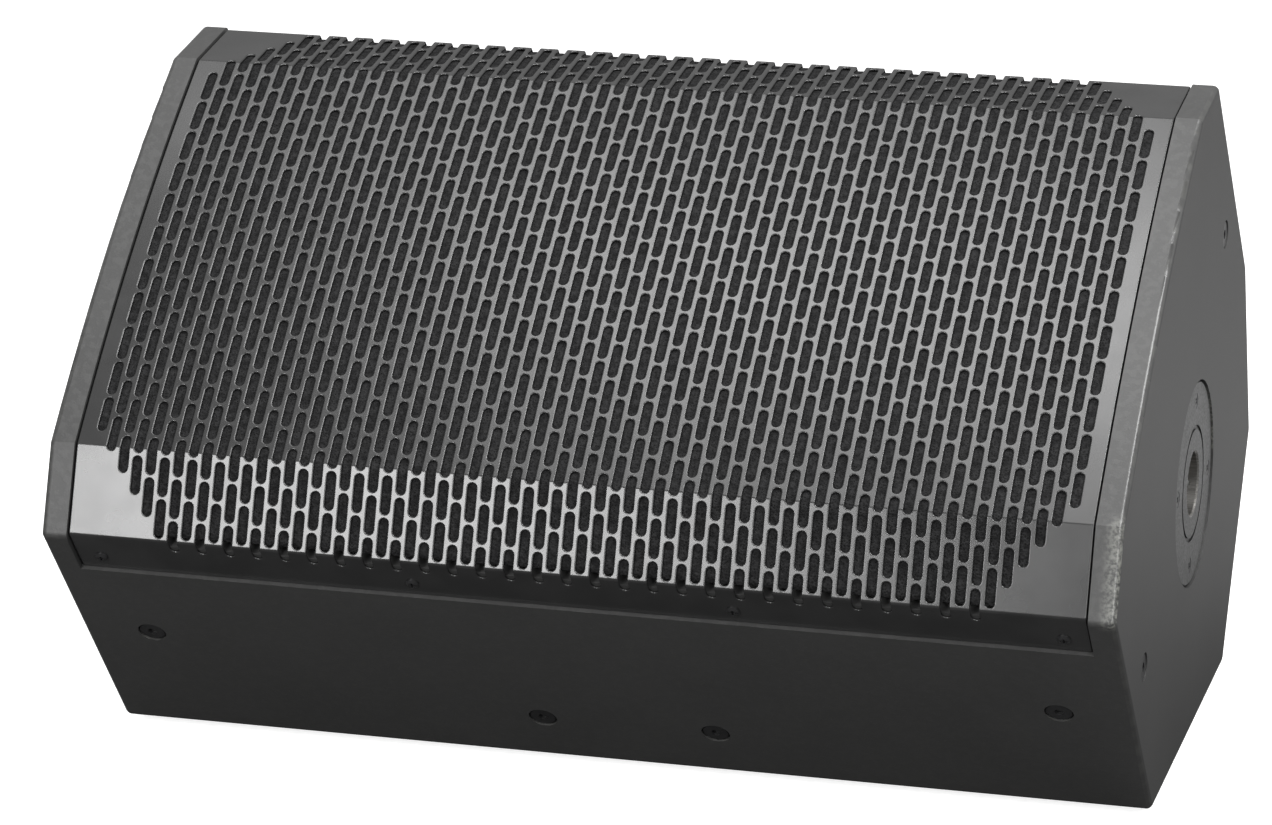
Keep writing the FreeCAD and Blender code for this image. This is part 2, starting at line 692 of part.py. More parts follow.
def woofer_spider():
    """The corrugated cloth disc that centres the coil; its outer rim is bonded to the basket's shelf."""
    start_r, end_r, waves, height, thick = FORMER_R + FORMER_T, 73.5, 5, 2.2, 0.7
    upper = [(start_r, SPIDER_H)]
    steps = waves * 4
    for i in range(1, steps):
        r = start_r + 3 + (end_r - start_r - 6) * i / steps
        upper.append((r, SPIDER_H + height * math.sin(2 * math.pi * i / 4)))
    upper += [(end_r, SPIDER_H), (83.5, SPIDER_H)]
    lower = [(r, h - thick) for r, h in upper]
    return on_baffle(upper + lower[::-1], WOOFER_X)


def woofer_top_plate():
    return on_baffle([(39.9, MOTOR_TOP_H), (70, MOTOR_TOP_H), (70, -92), (39.9, -92)], WOOFER_X)


def woofer_magnet():
    return on_baffle([(46, -92), (84, -92), (85, -93), (85, -111), (84, -112), (46, -112)], WOOFER_X)


def woofer_back_plate():
    return on_baffle([(10, MOTOR_TOP_H), (36.4, MOTOR_TOP_H), (36.4, -112), (72, -112), (76, -116), (76, -120),
                      (10, -120)], WOOFER_X)


def woofer_terminals():
    """The tag strip on the magnet's front face, with its two posts."""
    base = block(WOOFER_X - 14, WOOFER_X + 14, 70.2, TERMINAL_V, BAFFLE_N - 92, BAFFLE_N - 84.2)
    posts = [Part.makeCylinder(3, 9, V3(WOOFER_X + s * 9, TERMINAL_V, BAFFLE_N - 88), Y_AXIS) for s in (-1, 1)]
    return group([base] + posts)


def woofer_screws():
    screw = pan_screw(4.4, 2.6, 2.0, 20)
    seat = BAFFLE_N + 8.5
    return group([placed(screw, V3(x, v, seat), Z_AXIS) for x, v in woofer_screw_spots()])


# ---------------------------------------------------------------- horn and compression driver

THROAT_R = 12.7
HORN_DEPTH = 96.0
DRIVER_H = -HORN_DEPTH


def horn_section(h, grow):
    """A closed curve across the horn at height h: a rounded rectangle at the mouth, a circle at the throat."""
    depth = -(h - 4) / (HORN_DEPTH + 4)
    flare = (1 - depth) ** 1.7
    half_x = THROAT_R + (HORN_MOUTH[0] / 2 - THROAT_R) * flare + grow
    half_v = THROAT_R + (HORN_MOUTH[1] / 2 - THROAT_R) * flare + grow
    power = 2.0 / (2.0 + 3.0 * flare)
    points = []
    for i in range(32):
        a = 2 * math.pi * (i + 0.5) / 32
        c, s = math.cos(a), math.sin(a)
        points.append(V3(HORN_X + half_x * math.copysign(abs(c) ** power, c),
                         half_v * math.copysign(abs(s) ** power, s), BAFFLE_N + h))
    curve = Part.BSplineCurve()
    curve.interpolate(points, PeriodicFlag=True)
    return Part.Wire(curve.toShape())


def horn():
    """The flared waveguide with its square front flange and round driver flange."""
    heights = [4.0, -12.0, -32.0, -56.0, -80.0, -HORN_DEPTH]
    outer = Part.makeLoft([horn_section(h, 2.6) for h in heights[1:]], True)
    air = Part.makeLoft([horn_section(h, 0) for h in heights], True)
    skirt = Part.makeLoft([horn_section(4.0, 2.6), horn_section(-12.0, 2.6)], True)
    flange = rounded_block(HORN_FLANGE, HORN_FLANGE, BAFFLE_N, BAFFLE_N + 4, 12)
    flange.translate(V3(HORN_X, 0, 0))
    collar = Part.makeCylinder(40, 6, V3(HORN_X, 0, BAFFLE_N - HORN_DEPTH))
    body = outer.fuse([skirt, flange, collar]).cut(air)
    tools = [Part.makeCylinder(2.2, 8, V3(x, v, BAFFLE_N - 1)) for x, v in horn_screw_spots()]
    tools += [Part.makeCylinder(2.5, 10, V3(HORN_X + a, b, BAFFLE_N - HORN_DEPTH - 1)) for a, b in polar(3, 34)]
    return cut_all(body, tools)


def horn_screws():
    screw = pan_screw(4.2, 2.4, 2.0, 18)
    return group([placed(screw, V3(x, v, BAFFLE_N + 4), Z_AXIS) for x, v in horn_screw_spots()])


def on_driver(profile):
    """A solid of revolution on the horn's axis; h is measured back from the horn's driver flange."""
    return on_baffle([(r, DRIVER_H + h) for r, h in profile], HORN_X)


def driver_pole_plate():
    plate = on_driver([(THROAT_R, 0), (41, 0), (42, -1), (42, -6), (21.4, -6), (21.4, -28), (THROAT_R, -28)])
    holes = [Part.makeCylinder(2.5, 8, V3(HORN_X + a, b, BAFFLE_N + DRIVER_H - 7)) for a, b in polar(3, 34)]
    return cut_all(plate, holes)


def driver_bolts():
    """Three screws that hold the driver to the horn's collar, heads inside the cabinet."""
    bolt = spun([(0, -12), (2.5, -12), (2.5, 0), (4.5, 0), (4.5, 4), (0, 4)]).cut(hex_prism(4, 2.5, 1.6))
    spots = [V3(HORN_X + a, b, BAFFLE_N + DRIVER_H + 6) for a, b in polar(3, 34)]
    return group([placed(bolt, spot, Z_AXIS) for spot in spots])


def driver_phase_plug():
    plug = on_driver([(0, -6), (3, -9), (7.5, -28), (0, -28)])
    for i in range(3):
        fin = Part.makeBox(THROAT_R, 1.4, 14, V3(0, -0.7, BAFFLE_N + DRIVER_H - 28))
        fin.rotate(V3(0, 0, 0), Z_AXIS, 120 * i + 30)
        fin.translate(V3(HORN_X, 0, 0))
        plug = plug.fuse(fin)
    return plug.common(Part.makeCylinder(THROAT_R, 40, V3(HORN_X, 0, BAFFLE_N + DRIVER_H - 34)))


def driver_magnet():
    return on_driver([(27, -6), (45, -6), (46, -7), (46, -21), (45, -22), (27, -22)])


def driver_top_plate():
    return on_driver([(23.0, -22), (42, -22), (42, -28), (23.0, -28)])


def driver_diaphragm():
    """The metal dome and its coil former, free in the gap between pole and top plate."""
    former = on_driver([(21.9, -23), (22.4, -23), (22.4, -32), (21.9, -32)])
    rise = 9.0
    ball = (22.4 ** 2 + rise ** 2) / (2 * rise)
    centre = V3(HORN_X, 0, BAFFLE_N + DRIVER_H - 32 - rise + ball)
    shell = Part.makeSphere(ball, centre).cut(Part.makeSphere(ball - 0.3, centre))
    keep = Part.makeCylinder(22.4, rise + 2, V3(HORN_X, 0, BAFFLE_N + DRIVER_H - 32 - rise - 2))
    return former.fuse(shell.common(keep))


def driver_suspension():
    return on_driver([(22.4, -31.4), (30, -31.4), (30, -31.7), (22.4, -31.7)])


def driver_clamp_ring():
    return on_driver([(30, -28), (36, -28), (36, -34), (30, -34)])


def driver_rear_cover():
    return on_driver([(36.4, -28), (42, -28), (42, -48), (39, -51), (0, -51), (0, -48.6), (36.4, -48.6)])


# ---------------------------------------------------------------- ports

def port_tube(sign):
    tube = turned([(PORT_R, BAFFLE_N), (PORT_R + PORT_WALL, BAFFLE_N), (PORT_R + PORT_WALL, BAFFLE_N - PORT_LENGTH),
                   (PORT_R, BAFFLE_N - PORT_LENGTH)], HORN_X, sign * PORT_V)
    return tube


# ---------------------------------------------------------------- pole socket

LOCK_DIRECTION = (math.cos(math.radians(-56)), math.sin(math.radians(-56)))
LOCK_DEPTH = 7.5


def lock_screw_axis():
    """The set screw's tip on the bore wall, and the direction out of the bore there."""
    out = V3(0, *LOCK_DIRECTION)
    spot = V3(WIDTH / 2 - POLE_DISC_SINK - LOCK_DEPTH, POLE_V, POLE_N) + out * POLE_R
    return spot, out


def pole_socket():
    """Flanged cup: a ground steel bore in a disc with a ring groove, closed at its inner end."""
    face = -POLE_DISC_SINK
    profile = [(POLE_R, face - 1.0), (POLE_R + 1.0, face), (30.8, face), (30.8, face - 0.9), (33.0, face - 0.9),
               (33.0, face), (POLE_DISC_R - 1, face), (POLE_DISC_R, face - 1), (POLE_DISC_R, face - POLE_DISC_T),
               (POLE_R + POLE_WALL, face - POLE_DISC_T), (POLE_R + POLE_WALL, face - POLE_DEPTH - 3),
               (0, face - POLE_DEPTH - 3), (0, face - POLE_DEPTH), (POLE_R, face - POLE_DEPTH)]
    cup = placed(spun(profile), V3(WIDTH / 2, POLE_V, POLE_N), X_AXIS, Y_AXIS)
    tools = []
    for spot, out in pole_screw_spots():
        sink = spun([(0, -8), (2.2, -8), (2.2, -2.4), (4.6, 0), (4.6, 2), (0, 2)])
        tools.append(placed(sink, spot, out, Y_AXIS))
    spot, out = lock_screw_axis()
    tools.append(placed(Part.makeCylinder(2.5, 6, V3(0, 0, -3)), spot, out, X_AXIS))
    return cut_all(cup, tools)


def pole_screw_spots():
    face = WIDTH / 2 - POLE_DISC_SINK
    return [(V3(face, POLE_V + a, POLE_N + b), V3(1, 0, 0)) for a, b in polar(4, POLE_SCREW_PCR, math.pi / 4)]


def pole_socket_screws():
    screw = countersunk_screw(4.2, 2.0, 11)
    return group([placed(screw, spot + V3(-0.2, 0, 0), out, Y_AXIS) for spot, out in pole_screw_spots()])


def pole_lock_screw():
    """A hexagon-socket set screw through the cup's wall, its tip level with the bore."""
    spot, out = lock_screw_axis()
    end = POLE_WALL - 0.3
    body = spun([(0, 0), (1.9, 0), (2.5, 0.6), (2.5, end), (0, end)])
    return placed(body, spot, out, X_AXIS)


# ---------------------------------------------------------------- bolts, inserts, feet, handle

def recessed_bolt():
    """A socket bolt with a low round head, drawn with the panel's face at z 0."""
    shank = [(0, -18), (3.5, -18), (4, -17.5), (4, -2.8), (7.8, -2.8), (7.8, -1.3), (7.0, -0.6), (0, -0.6)]
    return spun(shank).cut(hex_prism(5, 2.2, -2.6))


def t_nut():
    """A flanged insert pressed onto the panel's inner face around the bolt."""
    return spun([(4, -PANEL), (10, -PANEL), (10, -PANEL - 1.5), (5.5, -PANEL - 1.5), (5.5, -PANEL - 6),
                 (4, -PANEL - 6)])


def at_bolts(solid):
    """A copy of a solid at every recessed bolt: four in the lower front panel and two in each side."""
    copies = [placed(solid, spot, out) for spot, out in bracket_bolt_spots()]
    for sign in (-1, 1):
        copies += [placed(solid, spot, out, Y_AXIS) for spot, out in side_bolt_spots(sign)]
    return group(copies)


def recessed_bolts():
    return at_bolts(recessed_bolt())


def bolt_inserts():
    return at_bolts(t_nut())


def rubber_feet():
    foot = spun([(1.75, 0), (FOOT_R, 0), (FOOT_R, 1.5), (FOOT_R - 2, FOOT_H - 0.8), (FOOT_R - 2.8, FOOT_H),
                 (6.0, FOOT_H), (6.0, 2.2), (1.75, 2.2)])
    return group([placed(foot, spot, out) for spot, out in foot_spots()])


def feet_screws():
    screw = pan_screw(4.2, 2.2, 1.75, 13.2)
    return group([placed(screw, spot + out * 2.2, out) for spot, out in foot_spots()])


def handle_cup():
    """A moulded hand cup with a rim on the panel and a bar across its mouth."""
    length, height = HANDLE_MOUTH
    rim = rounded_block(HANDLE_RIM[0], HANDLE_RIM[1], -HANDLE_RIM_T, -0.3, 11.5)
    bowl = rounded_block(length + 2 * HANDLE_WALL, height + 2 * HANDLE_WALL, -HANDLE_DEPTH, -HANDLE_RIM_T, 17)
    air = rounded_block(length, height, -HANDLE_DEPTH + HANDLE_WALL, 1, 14)
    bar = rounded_block(length + 2, HANDLE_BAR, -17, -0.3, 4)
    cup = rim.fuse(bowl).cut(air).fuse(bar)
    tools = []
    for a, b in handle_screw_spots():
        sink = spun([(0, -8), (2.0, -8), (2.0, -2.0), (3.8, -0.3), (3.8, 2), (0, 2)])
        sink.translate(V3(a, b, 0))
        tools.append(sink)
    origin, out, along = handle_frame()
    return placed(cut_all(cup, tools), origin, out, along)


def handle_screws():
    screw = countersunk_screw(3.4, 1.75, 13)
    origin, out, along = handle_frame()
    solids = []
    for a, b in handle_screw_spots():
        one = screw.copy()
        one.translate(V3(a, b, -0.45))
        solids.append(placed(one, origin, out, along))
    return group(solids)


# ---------------------------------------------------------------- connectors and crossover

SOCKET_R = 12.0
SOCKET_MOUTH_R = 10.6
SOCKET_DEPTH = 22.0


def socket_centres():
    return (-SOCKET_PITCH / 2, SOCKET_PITCH / 2)


def connector_plate():
    plate = rounded_block(PLATE[0], PLATE[1], -2.0, 0, 6)
    tools = [Part.makeCylinder(SOCKET_R, 6, V3(x, 0, -3)) for x in socket_centres()]
    tools += [Part.makeCylinder(1.8, 6, V3(a, b, -3)) for a, b in plate_screw_spots()]
    spot, out = connector_frame()
    return placed(cut_all(plate, tools), spot, out)


def connector_plate_screws():
    spot, out = connector_frame()
    solids = []
    for a, b in plate_screw_spots():
        one = pan_screw(3.4, 1.8, 1.5, 12)
        one.translate(V3(a, b, 0))
        solids.append(placed(one, spot, out))
    return group(solids)


def twist_socket(x):
    """A four-pole twist-lock chassis socket: a square front flange, a deep round mouth and a set-back core."""
    front = rounded_block(26, 31, 0, 2.2, 3)
    barrel = Part.makeCylinder(SOCKET_R, SOCKET_DEPTH, V3(0, 0, -SOCKET_DEPTH))
    mouth = Part.makeCylinder(SOCKET_MOUTH_R, SOCKET_DEPTH + 4, V3(0, 0, -SOCKET_DEPTH + 2))
    core = Part.makeCylinder(5.5, 8, V3(0, 0, -SOCKET_DEPTH + 1.5))
    body = front.fuse(barrel).cut(mouth).fuse(core)
    tabs = []
    for a, b in polar(4, 7.5):
        tabs.append(Part.makeBox(1.0, 5, 9, V3(a - 0.5, b - 2.5, -SOCKET_DEPTH - 8)))
    body = body.fuse(tabs)
    body.translate(V3(x, 0, 0))
    spot, out = connector_frame()
    return placed(body, spot, out)


BOARD = (150.0, 84.0)
BOARD_T = 1.6
STANDOFF_H = 8.0


def board_frame():
    """The crossover's place on the inside of the floor panel, and the direction into the cabinet."""
    spot, out = panel_frame(3, 4, FLOOR_LENGTH / 2 + 4, 150.0)
    return spot - out * PANEL, out * -1.0


def on_board(solids):
    spot, up = board_frame()
    return group([placed(s, spot, up) for s in solids])


def standoff_spots():
    return [(a * (BOARD[0] / 2 - 6), b * (BOARD[1] / 2 - 6)) for a in (-1, 1) for b in (-1, 1)]


def board_standoffs():
    return on_board([Part.makeCylinder(4, STANDOFF_H, V3(a, b, 0)) for a, b in standoff_spots()])


def crossover_board():
    board = Part.makeBox(BOARD[0], BOARD[1], BOARD_T, V3(-BOARD[0] / 2, -BOARD[1] / 2, STANDOFF_H))
    return on_board([board])


def crossover_coils():
    """Two air-cored coils on plastic bobbins, one lying flat and one on edge."""
    top = STANDOFF_H + BOARD_T
    flat = spun([(11, top), (24, top), (24, top + 18), (11, top + 18)])
    flat.translate(V3(-40, 0, 0))
    edge = spun([(9, -8), (19, -8), (19, 8), (9, 8)])
    edge.rotate(V3(0, 0, 0), X_AXIS, 90)
    edge.translate(V3(8, -18, top + 19))
    return on_board([flat, edge])


def crossover_capacitors():
    top = STANDOFF_H + BOARD_T
    cans = []
    for x, v, radius, length in ((38, 24, 9, 34), (42, 2, 7, 30), (-5, 22, 8, 30)):
        cans.append(Part.makeCylinder(radius, length, V3(x - length / 2, v, top + radius), X_AXIS))
    return on_board(cans)


def crossover_resistors():
    top = STANDOFF_H + BOARD_T
    return on_board([Part.makeBox(30, 9, 9, V3(30, v, top)) for v in (-36, -22)])


# ---------------------------------------------------------------- internal wiring

RUN_SHARE = 0.45


def cable(name, route, radius):
    """A round cable along straight runs joined by tangent arcs as large as the runs allow."""
    edges = []
    radii = []
    start = route[0]
    for before, corner, after in zip(route, route[1:], route[2:]):
        to_corner = (corner - before).normalize()
        to_after = (after - corner).normalize()
        half_turn = to_corner.getAngle(to_after) / 2
        setback = RUN_SHARE * min((corner - before).Length, (after - corner).Length)
        bend = setback / math.tan(half_turn)
        radii.append(round(bend, 1))
        leave = corner - to_corner * setback
        join = corner + to_after * setback
        inward = (to_after - to_corner).normalize()
        apex = corner + inward * (bend / math.cos(half_turn) - bend)
        edges.append(Part.makeLine(start, leave))
        edges.append(Part.Arc(leave, apex, join).toShape())
        start = join
    edges.append(Part.makeLine(start, route[-1]))
    print(name, "bend radii", radii)
    path = Part.Wire(edges)
    ring = Part.Wire(Part.makeCircle(radius, route[0], (route[1] - route[0]).normalize()))
    return path.makePipeShell([ring], True, False)


def above_board(x, y, height):
    """A point over the crossover board, in the board's own directions."""
    spot, up = board_frame()
    sideways = up.cross(X_AXIS)
    return spot + X_AXIS * x + sideways * y + up * height


def lead_end(y, height):
    return above_board(-70.0, y, STANDOFF_H + BOARD_T + height)


def input_cable():
    spot, out = connector_frame()
    tag = spot + X_AXIS * socket_centres()[0] - out * (SOCKET_DEPTH + 8)
    route = [tag, tag - out * 34, V3(-110, 66, -232), V3(-14, 12, -236), V3(60, -32, -243),
             lead_end(20, 30), lead_end(20, 0)]
    return cable("input_cable", route, 2.5)


def woofer_cable():
    strip = V3(WOOFER_X, TERMINAL_V, BAFFLE_N - 88)
    route = [lead_end(-20, 0), lead_end(-20, 34), V3(42, -32, -214), V3(-6, 40, -196), V3(-56, 100, -170),
             strip + V3(0, 38, 0), strip]
    return cable("woofer_cable", route, 2.5)


def driver_cable():
    tag = V3(HORN_X - 22, -12, BAFFLE_N + DRIVER_H - 51)
    route = [lead_end(0, 0), lead_end(0, 32), tag + V3(0, 0, -36), tag]
    return cable("driver_cable", route, 2.0)


# ---------------------------------------------------------------- lining

LINING_T = 20.0


def acoustic_lining():
    """Two fleece mats inside, one on the top panel and one on the rear panel."""
    roof = block(-272, 124, INNER_HALF_HEIGHT - LINING_T, INNER_HALF_HEIGHT, -190, -80)
    spot, out = panel_frame(2, 3, 71.0, 0)
    mat = Part.makeBox(500, 96, LINING_T, V3(-250, -48, -PANEL - LINING_T))
    return group([roof, placed(mat, spot, out)])


# ---------------------------------------------------------------- into the row's frame

def to_row(shape, shift):
    """Turned so that the floor face lies flat, then moved to the origin."""
    turned_shape = shape.copy()
    turned_shape.rotate(V3(0, 0, 0), X_AXIS, math.degrees(TILT))
    turned_shape.translate(shift)
    return turned_shape


def rest_shift():
    """Moves the turned cabinet so that its feet stand on z 0 and it is centred on y."""
    body = to_row(side_panel_right(), V3(0, 0, 0)).BoundBox
    return V3(0, -(body.YMin + body.YMax) / 2, FOOT_H - body.ZMin)


def all_nodes():
    ring = shell_ring()
    return {
        "side_panel_left": side_panel_left(),
        "side_panel_right": side_panel_right(),
        "top_panel": top_panel(ring),
        "lower_front_panel": lower_front_panel(ring),
        "floor_panel": floor_panel(ring),
        "rear_panel": rear_panel(ring),
        "upper_rear_panel": upper_rear_panel(ring),
        "front_baffle": front_baffle(),
        "baffle_battens": baffle_battens(),
        "grille": grille(),
        "grille_foam": grille_foam(),
        "grille_screws": grille_screws(),
        "woofer_basket": woofer_basket(),
        "woofer_gasket": woofer_gasket(),
        "woofer_surround": woofer_surround(),
        "woofer_cone": woofer_cone(),
        "woofer_dust_cap": woofer_dust_cap(),
        "voice_coil_former": voice_coil_former(),
        "voice_coil_winding": voice_coil_winding(),
        "woofer_spider": woofer_spider(),
        "woofer_top_plate": woofer_top_plate(),
        "woofer_magnet": woofer_magnet(),
        "woofer_back_plate": woofer_back_plate(),
        "woofer_terminals": woofer_terminals(),
        "woofer_screws": woofer_screws(),
        "horn": horn(),
        "horn_screws": horn_screws(),
        "driver_pole_plate": driver_pole_plate(),
        "driver_bolts": driver_bolts(),
        "driver_phase_plug": driver_phase_plug(),
        "driver_magnet": driver_magnet(),
        "driver_top_plate": driver_top_plate(),
        "driver_diaphragm": driver_diaphragm(),
        "driver_suspension": driver_suspension(),
        "driver_clamp_ring": driver_clamp_ring(),
        "driver_rear_cover": driver_rear_cover(),
        "port_tube_upper": port_tube(1),
        "port_tube_lower": port_tube(-1),
        "pole_socket": pole_socket(),
        "pole_socket_screws": pole_socket_screws(),
        "pole_lock_screw": pole_lock_screw(),
        "recessed_bolts": recessed_bolts(),
        "bolt_inserts": bolt_inserts(),
        "rubber_feet": rubber_feet(),
        "feet_screws": feet_screws(),
        "handle_cup": handle_cup(),
        "handle_screws": handle_screws(),
        "connector_plate": connector_plate(),
        "connector_plate_screws": connector_plate_screws(),
        "input_socket": twist_socket(socket_centres()[0]),
        "link_socket": twist_socket(socket_centres()[1]),
        "board_standoffs": board_standoffs(),
        "crossover_board": crossover_board(),
        "crossover_coils": crossover_coils(),
        "crossover_capacitors": crossover_capacitors(),
        "crossover_resistors": crossover_resistors(),
        "input_cable": input_cable(),
        "woofer_cable": woofer_cable(),
        "driver_cable": driver_cable(),
        "acoustic_lining": acoustic_lining(),
    }


def main():
    os.makedirs("parts", exist_ok=True)
    shift = rest_shift()
    for name, shape in all_nodes().items():
        to_row(shape, shift).exportStep("parts/" + name + ".step")


if __name__ == "__main__":
    main()
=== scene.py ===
"""Looks for the stage monitor wedge: its slotted steel grille, foam, soft parts, finishes, light and camera."""
import json
import math

import bmesh
import bpy
import numpy as np
from mathutils import Matrix, Vector, noise


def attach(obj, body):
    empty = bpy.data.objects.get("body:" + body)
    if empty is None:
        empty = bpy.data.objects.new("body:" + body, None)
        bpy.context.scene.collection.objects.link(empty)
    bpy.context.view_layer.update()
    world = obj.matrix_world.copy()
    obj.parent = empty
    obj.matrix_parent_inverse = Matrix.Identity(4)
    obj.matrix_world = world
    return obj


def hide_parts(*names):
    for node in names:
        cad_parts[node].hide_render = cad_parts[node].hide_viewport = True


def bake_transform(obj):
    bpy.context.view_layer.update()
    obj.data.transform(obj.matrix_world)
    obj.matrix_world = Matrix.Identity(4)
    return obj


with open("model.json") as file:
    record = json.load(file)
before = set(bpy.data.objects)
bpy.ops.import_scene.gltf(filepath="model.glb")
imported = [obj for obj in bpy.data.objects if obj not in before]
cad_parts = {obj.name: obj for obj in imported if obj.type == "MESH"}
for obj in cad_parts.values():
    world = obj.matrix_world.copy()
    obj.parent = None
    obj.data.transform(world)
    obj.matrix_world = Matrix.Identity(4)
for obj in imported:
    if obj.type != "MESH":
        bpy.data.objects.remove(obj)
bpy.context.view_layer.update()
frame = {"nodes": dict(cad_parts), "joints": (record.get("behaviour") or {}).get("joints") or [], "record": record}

MM = 0.001

# ---------------------------------------------------------------- the baffle's own frame
# x runs across the cabinet, v up along the baffle and n out of it; n is 0 at the grille's crown.

POLE_V, POLE_N = 4.0, -172.0
OUT = Vector(frame["joints"][0]["axis"]).normalized()
UP = Vector((0, OUT.z, -OUT.y))
POLE = next(Vector(m["pos_m"]) for m in frame["record"]["mounts"] if m["name"] == "pole_socket_bore")
CROWN = Vector((0, POLE.y, POLE.z)) - UP * POLE_V * MM - OUT * POLE_N * MM


def place(x, v, n):
    """A point of the baffle's frame, in millimetres, as a point of the row's frame, in metres."""
    return Vector((x * MM, 0, 0)) + CROWN + UP * (v * MM) + OUT * (n * MM)


def placed(points):
    """The same for an array of (x, v, n) rows."""
    axes = np.array([(1, 0, 0), tuple(UP), tuple(OUT)])
    return np.asarray(points, float) @ axes * MM + np.array(CROWN)


# ---------------------------------------------------------------- helpers

def new_object(name, verts, faces):
    """A smooth-shaded object in the scene, at the origin."""
    mesh = bpy.data.meshes.new(name)
    mesh.from_pydata([tuple(v) for v in verts], [], faces)
    mesh.validate()
    mesh.polygons.foreach_set("use_smooth", [True] * len(mesh.polygons))
    piece = bpy.data.objects.new(name, mesh)
    bpy.context.scene.collection.objects.link(piece)
    return piece


def settle(piece, body, slot_name, *nodes):
    """Rides a piece on its body, in the place of its CAD nodes, with the finish of their slot."""
    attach(piece, body)
    if nodes:
        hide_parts(*nodes)
    piece.data.materials.append(FINISHES[slot_name])
    return piece


# ---------------------------------------------------------------- finishes

class Finish:
    """A node material around one Principled shader, in object coordinates (metres)."""

    def __init__(self, name, roughness=0.5, metallic=0.0):
        self.material = bpy.data.materials.new(name)
        self.material.use_nodes = True
        self.tree = self.material.node_tree
        self.tree.nodes.clear()
        self.shader = self.add("ShaderNodeBsdfPrincipled")
        self.shader.inputs["Roughness"].default_value = roughness
        self.shader.inputs["Metallic"].default_value = metallic
        output = self.add("ShaderNodeOutputMaterial")
        self.link(self.shader.outputs[0], output.inputs["Surface"])
        self.here = self.add("ShaderNodeTexCoord").outputs["Object"]

    def add(self, kind, **settings):
        node = self.tree.nodes.new(kind)
        for key, value in settings.items():
            setattr(node, key, value)
        return node

    def link(self, source, target):
        self.tree.links.new(source, target)

    def feed(self, target, value):
        if isinstance(value, bpy.types.NodeSocket):
            self.link(value, target)
        else:
            target.default_value = value

    def sum(self, operation, a, b=0.0, clamp=False):
        """One arithmetic operation on values or sockets."""
        node = self.add("ShaderNodeMath", operation=operation, use_clamp=clamp)
        self.feed(node.inputs[0], a)
        self.feed(node.inputs[1], b)
        return node.outputs[0]

    def stretched(self, x, y, z):
        """The object coordinates, scaled along each axis."""
        node = self.add("ShaderNodeVectorMath", operation="MULTIPLY")
        self.link(self.here, node.inputs[0])
        node.inputs[1].default_value = (x, y, z)
        return node.outputs[0]

    def noise(self, size_mm, detail=2.0, where=None):
        """Noise whose lumps are about size_mm across."""
        node = self.add("ShaderNodeTexNoise")
        self.link(where or self.here, node.inputs["Vector"])
        node.inputs["Scale"].default_value = 1 / MM / size_mm
        node.inputs["Detail"].default_value = detail
        return node.outputs["Fac"]

    def cells(self, size_mm, feature="F1"):
        """Cells about size_mm across."""
        node = self.add("ShaderNodeTexVoronoi", feature=feature)
        self.link(self.here, node.inputs["Vector"])
        node.inputs["Scale"].default_value = 1 / MM / size_mm
        return node.outputs["Distance"]

    def span(self, value, low, high, to_low=0.0, to_high=1.0):
        """A smooth step from to_low at low to to_high at high."""
        node = self.add("ShaderNodeMapRange", interpolation_type="SMOOTHSTEP")
        self.link(value, node.inputs["Value"])
        for key, number in (("From Min", low), ("From Max", high), ("To Min", to_low), ("To Max", to_high)):
            node.inputs[key].default_value = number
        return node.outputs["Result"]

    def blend(self, share, first, second):
        """A colour between two colours."""
        node = self.add("ShaderNodeMix", data_type="RGBA")
        self.feed(node.inputs["Factor"], share)
        for socket, value in ((node.inputs[6], first), (node.inputs[7], second)):
            self.feed(socket, value if isinstance(value, bpy.types.NodeSocket) else (*value, 1.0))
        return node.outputs[2]

    def axis(self, name, source=None):
        node = self.add("ShaderNodeSeparateXYZ")
        self.link(source or self.here, node.inputs[0])
        return node.outputs[name]

    def facing(self, direction):
        """How far the surface faces a direction, from -1 to 1."""
        node = self.add("ShaderNodeVectorMath", operation="DOT_PRODUCT")
        self.link(self.add("ShaderNodeNewGeometry").outputs["Normal"], node.inputs[0])
        node.inputs[1].default_value = direction
        return node.outputs["Value"]

    def colour(self, value):
        self.feed(self.shader.inputs["Base Color"], value if isinstance(value, bpy.types.NodeSocket)
                  else (*value, 1.0))

    def rough(self, value):
        self.feed(self.shader.inputs["Roughness"], value)

    def bump(self, height, depth_mm, strength):
        node = self.add("ShaderNodeBump")
        node.inputs["Strength"].default_value = strength
        node.inputs["Distance"].default_value = depth_mm * MM
        self.link(height, node.inputs["Height"])
        self.link(node.outputs["Normal"], self.shader.inputs["Normal"])


def shade(colour, factor):
    return tuple(c * factor for c in colour)


WORN_X = (0.288, 0.299)
WORN_Z = (0.152, 0.158, 0.204, 0.212)


